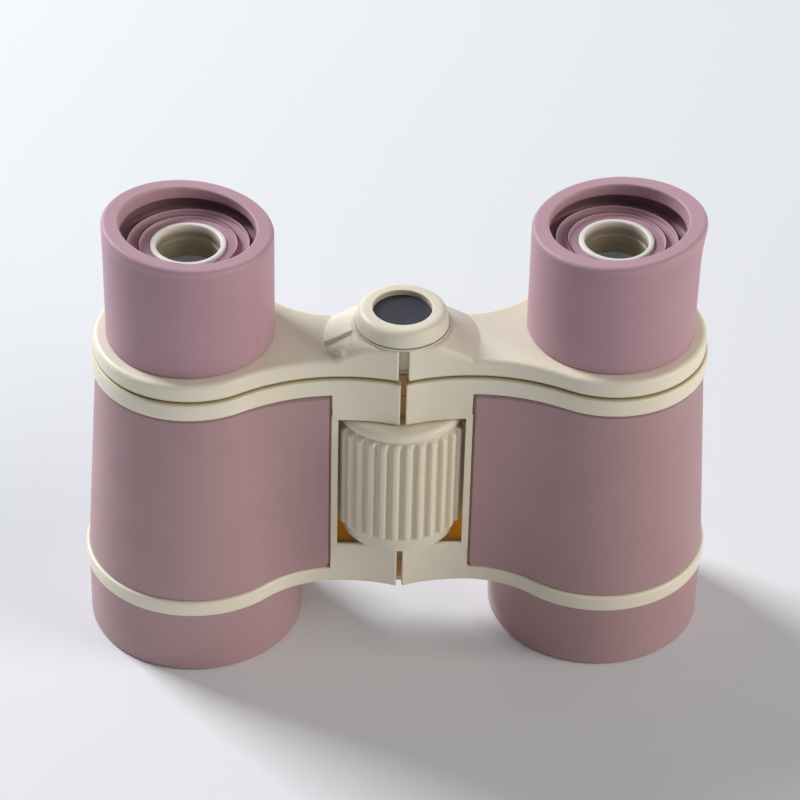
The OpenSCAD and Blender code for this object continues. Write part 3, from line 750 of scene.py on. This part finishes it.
def housing_shells(rings):
    """The skins of one housing: barrel, waist, both lips with their lugs, two posts and the knuckles."""
    waist = core_outline(GRIP_T + 0.05)
    waist_inner = middle_line(waist, WAIST_HOLE_R, WAIST_START)
    low_z, low_rise = (LIP_Z, GRIP_Z), WINDOW_Z - GRIP_Z
    top_z, top_rise = (-DECK_Z, -TOP_LIP_Z), TOP_LIP_Z - WINDOW_TOP_Z
    top_front, top_lug_x = WAIST_FRONT + 0.1, POST_X - 0.12
    top_lip = lip_and_lug(TOP_LIP_R, top_front, TUBE_HOLE_R, *top_z, top_rise, top_lug_x, TOP_EDGES)
    return [
        turned(core_profile, count=240),
        plate(waist, waist_inner, GRIP_Z - 1, TOP_LIP_Z + 1, CORE_EDGE, CORE_EDGE),
        lip_and_lug(BOTTOM_LIP_R, WAIST_FRONT, LOW_HOLE_R, *low_z, low_rise, POST_X, LOW_EDGES),
        flipped(top_lip, [1, 1, -1]),
        post(WAIST_FRONT + 0.01, -1),
        post(WAIST_BACK + 0.01, 1),
        *(knuckle(low, high) for low, high in rings),
    ]


RIGHT_RINGS = (LIP_Z, LOW_SPLIT_Z), (WINDOW_TOP_Z, TOP_SPLIT_Z)
LEFT_RINGS = (LOW_SPLIT_Z + SPLIT, WINDOW_Z), (TOP_SPLIT_Z + SPLIT, DECK_Z)
right_body, left_body = housing_shells(RIGHT_RINGS), housing_shells(LEFT_RINGS)
both_sides("body", right_body, left_body, housing_plastic, "half", "cream_plastic", "housing")

# %% [markdown]
# ## Grips
# The rubber grip wraps the barrel and the waist as one skin. Its outline is worked out afresh at every
# height, because the barrel narrows upwards, so no crease is left where barrel and waist meet. The
# lower corners beside the window are round, and a thin dark joint is left to the plastic.

# %% Grips
GRIP_EDGE, CORNER_R, GRIP_JOINT = 0.3, 1.1, 0.04


def grip_shell():
    """A thin closed loop up the outside and down the inside, carried along the outline. Near an edge at
    distance s, the outside falls by e - sqrt(e^2 - (e - s)^2)."""
    a = np.linspace(0, np.pi / 2, 6)
    near = GRIP_EDGE * (1 - np.cos(a))
    fall = GRIP_EDGE * (1 - np.sin(a))
    middle = np.linspace(0.01, 0.99, 40)
    rise = np.concatenate([near, 0 * middle, -near[::-1]])
    share = np.concatenate([0 * near, middle, 1 + 0 * near])
    sink = np.concatenate([fall, 0 * middle, fall[::-1]])
    ease = np.concatenate([np.linspace(0, 0.03, 12, endpoint=False), np.linspace(0.03, 1, 50)])
    levels = np.linspace(0, 1, 9)
    sample = round_barrel(GRIP_TOP_R, WAIST_FRONT, WAIST_BACK, GRIP_EDGE_X, GRIP_EDGE_X, ease)[0]
    steps = np.linalg.norm(np.diff(sample, axis=0), axis=1)
    along = np.concatenate([[0], np.cumsum(steps)])
    to_end = np.minimum(along, along[-1] - along)
    within = np.clip(CORNER_R - to_end, 0, None)
    foot = GRIP_Z + GRIP_JOINT + CORNER_R - np.sqrt(CORNER_R**2 - within**2)
    end_fall = GRIP_EDGE - np.sqrt(GRIP_EDGE**2 - np.clip(GRIP_EDGE - to_end, 0, None) ** 2)
    z = foot + rise[:, None] + share[:, None] * (TOP_LIP_Z - GRIP_JOINT - foot)
    portion = (z - GRIP_Z) / (TOP_LIP_Z - GRIP_Z)
    radii = GRIP_FOOT_R + (GRIP_TOP_R - GRIP_FOOT_R) * levels
    table = round_barrel(radii, WAIST_FRONT, WAIST_BACK, GRIP_EDGE_X, GRIP_EDGE_X, ease)
    place = np.clip(portion, 0, 1) * (len(levels) - 1)
    cell = np.minimum(place.astype(int), len(levels) - 2)
    part = (place - cell)[..., None]
    column = np.arange(table.shape[1])[None]
    flat = table[cell, column] * (1 - part) + table[cell + 1, column] * part
    tangent = unit(np.gradient(flat, axis=1))
    normal = np.stack([tangent[..., 1], -tangent[..., 0]], -1)
    outer = flat - normal * np.clip(sink[:, None] + end_fall, 0, GRIP_T - 0.1)[..., None]
    inner = flat - normal * GRIP_T
    loop = np.concatenate([np.dstack([outer, z]), np.dstack([inner, z])[::-1]])
    return skin(loop.transpose(1, 0, 2), "strip")


grip = [grip_shell()]
both_sides("grip_skin", grip, grip, pink_rubber, "half", "pink_rubber", "grip")

# %% [markdown]
# ## Ocular arms
# Each eyepiece sits on a cream arm that rises in a cone to the hinge. The arm is a plate whose top gets
# the cone as an added height, so its rounded edge follows the rise. The left arm has a small notch
# moulded into the slope of its cone.

# %% Ocular arms
BOSS_FOOT_R, BOSS_TOP_R, ARM_EDGE = 12.3, 8.0, 0.25
NOTCH_TURN, NOTCH_START, NOTCH_WALL, NOTCH_DEPTH = 8.0, 7.45, 2.62, 0.6225
LEDGE_X, LEDGE_Y, LEDGE_H = 10.35, -7.85, 0.8
ARM_SPLIT_Z, ARM_SPLIT, ARM_RING_TOP_Z = 53.4, 0.15, 58.5


def boss(x, y):
    """Height of the cone round the hinge."""
    away = np.hypot(x, y - HINGE_Y)
    return BOSS_RISE * soft_step((BOSS_FOOT_R - away) / (BOSS_FOOT_R - BOSS_TOP_R), 0.004)


def notched_boss(x, y):
    """The cone with a notch: a wall that runs out from the hinge, a floor that rises from it towards the
    front, and a small ledge at the cone's foot where the floor ends."""
    turn, forward = np.radians(NOTCH_TURN), y - HINGE_Y
    out = x * np.cos(turn) + forward * np.sin(turn)
    aside = x * np.sin(turn) - forward * np.cos(turn)
    along = soft_step((out - NOTCH_START) / 0.15, 0.1)
    along = along * soft_step((BOSS_FOOT_R - 0.05 - np.hypot(x, forward)) / 0.2, 0.1)
    wall = soft_step((aside - NOTCH_WALL) / 0.1, 0.05)
    depth = NOTCH_DEPTH + 0.05 * (out - NOTCH_START)
    cut = depth * along * wall * np.clip((6.6 - aside) / 3.8, 0, 1)
    beyond = ((x - LEDGE_X) - (y - LEDGE_Y)) * np.sqrt(0.5)
    across = ((x - LEDGE_X) + (y - LEDGE_Y)) * np.sqrt(0.5)
    ledge = LEDGE_H * soft_step(-beyond / 0.15, 0.1) * np.clip(1 + beyond / 2.0, 0, 1)
    ledge = ledge * soft_step((across + 1.5) / 0.9, 0.1) * soft_step((1.4 - across) / 0.9, 0.1)
    return boss(x, y) - cut + ledge


def arm_shell(swell):
    """An arm: a plate with swell as its added height, whose upper edge is rounder away from the hinge."""

    def near_cone(x, y):
        return 6.0 * ((x > 4) & (x < 14) & (y < 0))

    outline = half_outline(ARM_R, ARM_FRONT, WAIST_BACK, ARM_GAP, CORNER_SOFT, near_cone)
    off_hinge = np.hypot(*(outline - [0, HINGE_Y]).T) > KNUCKLE_ROOM + 0.2
    edge = ARM_EDGE + 0.55 * np.clip((outline[:, 0] - 1.0) / 2.0, 0, 1) * off_hinge
    inner = middle_line(outline, TUBE_HOLE_R)
    return plate(outline, inner, ARM_Z, ARM_TOP_Z, ARM_EDGE, edge, swell, 48, fold=BOSS_FOOT_R)


right_arm = [arm_shell(boss), knuckle(ARM_Z, ARM_SPLIT_Z)]
left_arm = [arm_shell(notched_boss), knuckle(ARM_SPLIT_Z + ARM_SPLIT, ARM_RING_TOP_Z)]
both_sides("arm", right_arm, left_arm, housing_plastic, "eyepiece", "cream_plastic", "ocular_arm", crisp=26)

# %% [markdown]
# ## Ocular tubes
# The eyepiece's cream tube shows as a bright ring inside the rubber cup. Its bore steps in towards the
# lens, so the far wall shows a few fine rings.

# %% Ocular tubes
TUBE_R, TUBE_IN_R, TUBE_Z, TUBE_BORE_R, TUBE_BORE_Z = 11.9, 10.4, 40.0, 9.07, 55.0
NECK_R, NECK_Z, NECK_TOP_Z, EYE_RING_R, EYE_BORE_R = 10.57, 56.5, 68.27, 5.9, 4.6
EYE_SEAT_R, EYE_SEAT_Z, EYE_SHELF_Z = 6.43, 63.6, 66.7
tube_profile = rounded([
    (TUBE_IN_R, TUBE_Z, 0.1), (TUBE_R, TUBE_Z, 0.3), (TUBE_R, NECK_Z, 0.05), (NECK_R, NECK_Z, 0.05),
    (NECK_R, NECK_TOP_Z, 0.05), (EYE_RING_R, NECK_TOP_Z, 0.05), (EYE_RING_R, EYE_RING_Z, 0.3),
    (5.0, EYE_RING_Z, 0.25), (4.95, 69.9, 0.15), (4.72, 69.7, 0.15), (4.7, 68.3, 0.1),
    (EYE_BORE_R, 68.2, 0.1), (EYE_BORE_R, EYE_SHELF_Z, 0.05), (EYE_SEAT_R, EYE_SHELF_Z, 0.05),
    (EYE_SEAT_R, EYE_SEAT_Z, 0.05), (TUBE_BORE_R, EYE_SEAT_Z, 0.05), (TUBE_BORE_R, TUBE_BORE_Z, 0.05),
    (TUBE_IN_R, TUBE_BORE_Z, 0.05),
], 5)
RING_HIGHLIGHT_CREAM, BORE_SHADE_TAN = (0.90, 0.83, 0.76, 1), (0.24, 0.185, 0.115, 1)


def deep_bore(at):
    """Cream plastic with a pale painted highlight on the ring, and painted shade that darkens it to tan
    down the bore.
    """
    sockets = moulded(at)
    x, y, z = at.parts()
    # Painted shade: the bore darkens to tan below the ring.
    bore = from_barrel(x, y).ramp(0.0053, 0.0051) * z.ramp(0.0719, 0.0705)
    # Painted highlight: the top of the ring is paler.
    pale = z.ramp(0.0712, 0.0716).mix(sockets["Base Color"], RING_HIGHLIGHT_CREAM)
    sockets["Base Color"] = (0.85 * bore).mix(pale, BORE_SHADE_TAN)
    return sockets


tube_plastic = finish("tube_plastic", SOFT_LIGHT, deep_bore)
tube = [turned(tube_profile, count=160)]
both_sides("tube", tube, tube, tube_plastic, "eyepiece", "cream_plastic", "ocular_tube")

# %% [markdown]
# ## Eyecups
# The rubber eyecup is a turned wall whose rim is cut at a slant, highest on the outer side and a little
# to the front. The slant is a tilt that grows from nothing at the foot to the whole angle at the rim.
# Inside, the rim hangs over a dark recess, and two fine ridges run round the floor. The rubber gives, so
# the right cup's rim stands out a little more than the left one's.

# %% Eyecups
RIM_SLANT, RIM_TOWARD, RIGHT_FLARE, LEFT_FLARE = np.tan(np.radians(5.0)), np.radians(-10.0), 0.6, 0.1
GUTTER_Z, FLARE_Z, CUP_FOOT_Z, CUP_FLOOR_Z = 70.7, 65.5, 55.82, 68.5
CUP_BORE_R, RIM_IN_R, GUTTER_R, EYE_HOLE_R = 10.63, 10.5, 11.6, 5.95
cup_profile = rounded([
    (CUP_BORE_R, CUP_FOOT_Z, 0.05), (CUP_R, CUP_FOOT_Z, 0.35), (CUP_R, RIM_Z, 0.7),
    (RIM_IN_R, RIM_Z, 0.35), (RIM_IN_R, 73.5, 0.2), (GUTTER_R, 73.1, 0.2), (GUTTER_R, GUTTER_Z, 0.3),
    (9.75, GUTTER_Z, 0.2), (9.64, 72.2, 0.1), (9.42, 72.2, 0.1), (9.2, 71.45, 0.15), (7.9, 71.4, 0.15),
    (7.76, 72.1, 0.09), (7.54, 72.1, 0.09), (7.36, 71.6, 0.1), (EYE_HOLE_R, 71.7, 0.1),
    (EYE_HOLE_R, CUP_FLOOR_Z, 0.05), (CUP_BORE_R, CUP_FLOOR_Z, 0.05),
])
longest = np.argmax(np.linalg.norm(np.diff(cup_profile, axis=0), axis=1))
wall_rows = np.linspace(cup_profile[longest], cup_profile[longest + 1], 16)[1:-1]
cup_profile = np.insert(cup_profile, longest + 1, wall_rows, axis=0)
radius, height = cup_profile.T
outside, inside = (height - ARM_TOP_Z) / (RIM_Z - ARM_TOP_Z), (height - GUTTER_Z) / (RIM_Z - GUTTER_Z)
inner_slant = np.where(radius > 10.0, np.clip(inside, 0, 1), 0)
cup_slant = RIM_SLANT * np.where(radius > 12.0, outside, inner_slant)


def cup_shell(flare):
    """The turned cup. On its outer side the rim is pushed out by flare x height^3 x side^2, where height
    goes from 0 at FLARE_Z to 1 at the rim, and side from 0 at the middle to 1 at the outer wall."""
    points, faces = turned(cup_profile, count=240, slant=cup_slant, toward=RIM_TOWARD)
    up = np.clip((points[:, 2] - FLARE_Z) / (RIM_Z - FLARE_Z), 0, 1)
    side = np.clip((points[:, 0] - HALF_SPACING) / CUP_R, 0, 1)
    points[:, 0] += flare * up**3 * side**2
    return points, faces


right_cup, left_cup = [cup_shell(RIGHT_FLARE)], [cup_shell(LEFT_FLARE)]
both_sides("cup", right_cup, left_cup, pink_rubber, "eyepiece", "pink_rubber", "eyecup")

# %% [markdown]
# ## Focus roller
# The roller is a turned body whose radius also depends on the angle: thirty-three flat-topped ribs swell
# out of it between the cone at its foot and the smooth, rounded collar at its head.

# %% Focus roller
RIBS, RIB_DEPTH, RIB_W, BODY_R = 33, 0.8, 1.1, 10.2
RIB_Z, RIB_TOP_Z, WHEEL_Z, WHEEL_TOP_Z = 23.3, 42.5, 20.2, 44.4
FOOT_ROUND, CONE_DRAW, COLLAR_ROUND, COLLAR_SWELL, HUB_R = 0.25, 0.8, 0.9, 0.2, 8.0


def wheel_shell(per_rib=18):
    """Radius = body(z) + depth x ends(z) x tooth(angle), where tooth is 1 on a rib's flat top and falls
    smoothly on its flanks."""
    a = np.linspace(0, 2 * np.pi, RIBS * per_rib, endpoint=False)
    pitch = 2 * np.pi / RIBS
    aside = np.abs((a + np.pi / 2) % pitch - pitch / 2) * (BODY_R + RIB_DEPTH)
    tooth = soft_step((RIB_W / 2 + 0.12 - aside) / 0.24, 0.25)
    foot, collar = np.linspace(0, np.pi / 2, 5), np.linspace(0, np.pi / 2, 8)
    cone = np.linspace(0.3, 0.97, 6)
    ribbed = np.concatenate([
        np.linspace(RIB_Z, RIB_Z + 0.5, 8), np.linspace(RIB_Z + 1.5, RIB_TOP_Z - 1.5, 16),
        np.linspace(RIB_TOP_Z - 0.7, RIB_TOP_Z, 9),
    ])
    neck_rise = np.array([0.1, 0.2, 0.3, 0.45, 0.7])
    neck_swell = np.array([-0.1, -0.1, 0.05, 0.15, COLLAR_SWELL])
    z = np.concatenate([
        WHEEL_Z + FOOT_ROUND * (1 - np.cos(foot)), WHEEL_Z + cone * (RIB_Z - WHEEL_Z), ribbed,
        RIB_TOP_Z + neck_rise, WHEEL_TOP_Z - COLLAR_ROUND * (1 - np.sin(collar)),
    ])
    r = np.concatenate([
        BODY_R - CONE_DRAW - FOOT_ROUND * (1 - np.sin(foot)), BODY_R - CONE_DRAW * (1 - cone),
        BODY_R + 0 * ribbed, BODY_R + neck_swell,
        BODY_R + COLLAR_SWELL - COLLAR_ROUND * (1 - np.cos(collar)),
    ])
    ends = soft_step((z - RIB_Z) / 0.3, 0.2) * soft_step((RIB_TOP_Z - z) / 0.5, 0.2)
    ends = ends * (z >= RIB_Z) * (z <= RIB_TOP_Z)
    radius = r[:, None] + RIB_DEPTH * ends[:, None] * tooth
    bore = np.array([[HUB_R, WHEEL_TOP_Z], [PIN_R, WHEEL_TOP_Z], [PIN_R, WHEEL_Z], [HUB_R, WHEEL_Z]])
    radius = np.concatenate([radius, bore[:, :1] + 0 * a])
    z = np.concatenate([z, bore[:, 1]])[:, None] + 0 * a
    grid = np.stack([radius * np.cos(a), HINGE_Y + radius * np.sin(a), z], -1)
    return skin(grid)


VALLEY_SHADE_TAN = (0.52, 0.43, 0.29, 1)


def fingered(at):
    """Cream plastic with painted shade that makes it browner in the valleys between the ribs."""
    sockets = moulded(at)
    x, y, z = at.parts()
    # Painted shade: the valleys between the ribs are tinted tan.
    valley = from_hinge(x, y).ramp(0.01085, 0.01025) * z.band(0.0228, 0.0236, 0.0426, 0.0430)
    sockets["Base Color"] = (0.35 * valley).mix(sockets["Base Color"], VALLEY_SHADE_TAN)
    return sockets


roller_plastic = finish("roller_plastic", SOFT_LIGHT, fingered)
piece("focus_roller", [wheel_shell()], roller_plastic, "wheel", "cream_plastic", "focus_wheel")

# %% [markdown]
# ## Hinge cap and disc
# A round cap with a generous edge closes the hinge. A dark disc lies in its recess; it stays bare, with
# a satin face that is very slightly dished.

# %% Hinge cap
CAP_R, CAP_IN_R, CAP_FOOT_Z, RECESS_R, RECESS_Z = 7.5, 3.0, 58.53, 4.65, 60.15
GROOVE_R, GROOVE_Z, GROOVE_TOP_Z = 7.1, 58.85, 58.97
cap_profile = rounded([
    (CAP_IN_R, CAP_FOOT_Z, 0.05), (CAP_R, CAP_FOOT_Z, 0.08), (CAP_R, GROOVE_Z, 0.08),
    (GROOVE_R, GROOVE_Z, 0.05), (GROOVE_R, GROOVE_TOP_Z, 0.04), (7.32, GROOVE_TOP_Z, 0.08),
    (6.85, CAP_TOP_Z, 1.25), (RECESS_R, CAP_TOP_Z, 0.18), (RECESS_R, RECESS_Z, 0.05),
    (CAP_IN_R, RECESS_Z, 0.05),
])
cap = turned(cap_profile, 0.0, HINGE_Y, 160)
WALL_SHADE_TAN, GROOVE_SHADE_BROWN = (0.60, 0.46, 0.25, 1), (0.22, 0.13, 0.05, 1)


def capped(at):
    """Cream plastic with painted shade, brown in the fine groove at the cap's foot and tan on the wall
    round the disc.
    """
    sockets = moulded(at)
    x, y, z = at.parts()
    # Painted shade: the fine groove at the cap's foot is brown.
    groove = z.band(0.05884, 0.05886, 0.05896, 0.05898)
    # Painted shade: the wall of the recess round the disc is tinted tan.
    wall = from_hinge(x, y).ramp(0.00468, 0.00466) * z.ramp(0.0600, 0.0601)
    colour = (0.6 * wall).mix(sockets["Base Color"], WALL_SHADE_TAN)
    sockets["Base Color"] = groove.mix(colour, GROOVE_SHADE_BROWN)
    return sockets


cap_plastic = finish("cap_plastic", SOFT_LIGHT, capped)
piece("cap", [cap], cap_plastic, "right_eyepiece", "cream_plastic", "hinge_cap")

# %% Disc
INK, WORN_INK = (0.022, 0.022, 0.034, 1), (0.032, 0.032, 0.046, 1)
DISC_R, DISC_Z, DISC_FOOT_Z, DISH_CURVE = 4.6, 60.72, 60.2, 0.0035


def satin_ink(at):
    """Nearly black ink, a little paler where it is worn."""
    cloud = at.noise(500.0, 3.0)
    grain = at.noise(4000.0, 2.0)
    colour = cloud.ramp(0.3, 0.75).mix(INK, WORN_INK)
    return {"Base Color": colour, "Roughness": 0.38 + 0.14 * cloud, "Normal": grain.bump(0.00002, 0.25)}


ink_disc = finish("ink_disc", {"Specular IOR Level": 0.3}, satin_ink)
dish = np.linspace(0.4, 4.2, 12)
disc_profile = np.vstack([
    np.stack([dish, DISC_Z + DISH_CURVE * dish**2], -1),
    [[4.5, 60.8], [4.58, 60.78], [DISC_R, 60.7], [DISC_R, 60.22]],
    np.stack([dish[::-1], DISC_FOOT_Z + 0 * dish], -1),
])
disc = turned(disc_profile, 0.0, HINGE_Y, 120, ends="poles")
piece("disc", [disc], ink_disc, "right_eyepiece", "ink_disc", "cap_disc")

# %% [markdown]
# ## Lenses, pin and screws
# The pieces that hardly show keep their CAD shapes and get finishes of their own: clear lenses with a
# little dust, cream lens rings, brushed steel pins and screws and a nylon washer.

# %% Lenses, pin and screws
CLEAR, DUSTY = (0.86, 0.90, 0.90, 1), (0.80, 0.82, 0.82, 1)
DARK_STEEL, PALE_STEEL = (0.46, 0.46, 0.47, 1), (0.62, 0.62, 0.63, 1)
PALE_NYLON, DULL_NYLON = (0.80, 0.80, 0.76, 1), (0.72, 0.72, 0.68, 1)


def dusty_glass(at):
    """Clear plastic that is duller where dust lies."""
    dust = at.noise(900.0, 2.0).ramp(0.62, 0.8)
    return {"Base Color": dust.mix(CLEAR, DUSTY), "Roughness": 0.02 + 0.05 * dust}


def brushed(at):
    """Steel with fine streaks along z."""
    stretched = at.node("ShaderNodeMapping", None, {"Vector": at, "Scale": (1.0, 1.0, 0.08)})
    streak = stretched.noise(5000.0, 2.0)
    return {"Base Color": streak.mix(DARK_STEEL, PALE_STEEL), "Roughness": 0.24 + 0.16 * streak}


def waxy(at):
    """Pale nylon that drifts a little."""
    cloud = at.noise(300.0, 2.0)
    return {"Base Color": cloud.mix(PALE_NYLON, DULL_NYLON), "Roughness": 0.4 + 0.1 * cloud}


lens_glass = finish("lens_glass", {"Transmission Weight": 0.4, "IOR": 1.49}, dusty_glass)
steel = finish("steel", {"Metallic": 1.0}, brushed)
nylon = finish("nylon", {}, waxy)

kept = {
    lens_glass: ["right_objective_lens", "left_objective_lens", "right_eye_lens", "left_eye_lens"],
    steel: ["hinge_pin", "hinge_tube", "focus_screw", "cap_screw"],
    nylon: ["wheel_washer"],
    cream_plastic: ["right_lens_ring", "left_lens_ring", "right_eye_lens_ring", "left_eye_lens_ring"],
}
for material, nodes in kept.items():
    for node in nodes:
        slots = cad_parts[node].data.materials
        slots.clear()
        slots.append(material)
    print(material.name, "on", len(nodes), "CAD nodes")

# %% [markdown]
# ## Table and light
# The table is a white sheet. Far from the toy, where the lamps no longer reach, it gives the camera a
# pale glow, directly or by a mirror image, so that it runs into the white room without a dark horizon.
# One soft lamp stands behind on the left and throws the shadow towards the viewer's right; a second from
# the right opens the shaded fronts, and the cool light of the room fills the rest.

# %% Table
TABLE_REACH, GLOW_START, GLOW_FULL = 3.0, 0.28, 0.75
PAPER, PALE_PAPER, FAR_GLOW = (0.825, 0.825, 0.825, 1), (0.84, 0.84, 0.84, 1), (0.86, 0.87, 0.88, 1)


def paper(at):
    """White paper that drifts very slightly."""
    cloud = at.noise(4.0, 2.0)
    return {"Base Color": cloud.mix(PAPER, PALE_PAPER), "Roughness": 0.6 + 0.1 * cloud}


def seen(ray):
    """1 for rays from the camera and for those that a gloss or a lens passes on, 0 for the rest."""
    paths = ray.socket.node.outputs
    return ray.most(Wire(paths["Is Glossy Ray"]).most(Wire(paths["Is Transmission Ray"])))


table_mesh = bpy.data.meshes.new("table")
corners = TABLE_REACH * np.array([(-1, -1, 0), (1, -1, 0), (1, 1, 0), (-1, 1, 0)])
table_mesh.from_pydata(corners, [], [(0, 1, 2, 3)])
table_paper = finish("table_paper", {}, paper)
sheet = table_paper.node_tree.nodes
at = Wire(sheet["Texture Coordinate"].outputs["Object"])
x, y, _ = at.parts()
far = hypot(x, y).ramp(GLOW_START, GLOW_FULL) * seen(at.node("ShaderNodeLightPath"))
lit = Wire(sheet["Principled BSDF"].outputs[0])
pale = at.node("ShaderNodeEmission", None, {"Color": FAR_GLOW})
both = at.node("ShaderNodeMixShader", None, {0: far, 1: lit, 2: pale})
table_paper.node_tree.links.new(both.socket, sheet["Material Output"].inputs["Surface"])
table_mesh.materials.append(table_paper)
table = bpy.data.objects.new("table", table_mesh)
scene.collection.objects.link(table)
print("table:", 2 * TABLE_REACH, "m wide")

# %% Lamps
LAMP_AIM_Z, COOL, WARM = 0.04, (0.965, 1.0, 1.05), (1.0, 0.955, 0.89)


def lamp(name, turn, height, distance, size, watts, colour):
    """A square lamp that looks at the toy from a bearing and a height, in degrees."""
    turn, height = np.radians([turn, height])
    toward = np.array([np.cos(turn) * np.cos(height), np.sin(turn) * np.cos(height), np.sin(height)])
    side = unit(np.array([-toward[1], toward[0], 0.0]))
    light = bpy.data.lights.new(name, "AREA")
    light.size, light.energy, light.color = size, watts, colour
    made = bpy.data.objects.new(name, light)
    stand(made, (side, np.cross(toward, side), toward), toward * distance + [0, 0, LAMP_AIM_Z])
    print(f"{name}: {watts} W at {distance} m")


lamp("back_left_lamp", turn=140.0, height=35.0, distance=1.2, size=0.40, watts=14.6, colour=COOL)
lamp("right_lamp", turn=-21.0, height=23.0, distance=1.3, size=0.8, watts=9.8, colour=WARM)

# %% Room
ROOM_BLUE, ROOM_WHITE, ROOM_LIGHT, ROOM_GLOW = (0.87, 0.97, 1.17, 1), (1, 1, 1, 1), 0.165, 0.735
room = bpy.data.worlds.new("room")
room.use_nodes = True
scene.world = room
sky = room.node_tree.nodes["Background"]
ray = Wire(room.node_tree.nodes.new("ShaderNodeLightPath").outputs["Is Camera Ray"])
shown, links = seen(ray), room.node_tree.links
links.new(shown.mix(ROOM_BLUE, ROOM_WHITE).socket, sky.inputs["Color"])
links.new((ROOM_LIGHT + ROOM_GLOW * shown).socket, sky.inputs["Strength"])
scene.view_settings.view_transform = "Standard"
print("room light:", ROOM_LIGHT, "and shown at", ROOM_LIGHT + ROOM_GLOW)
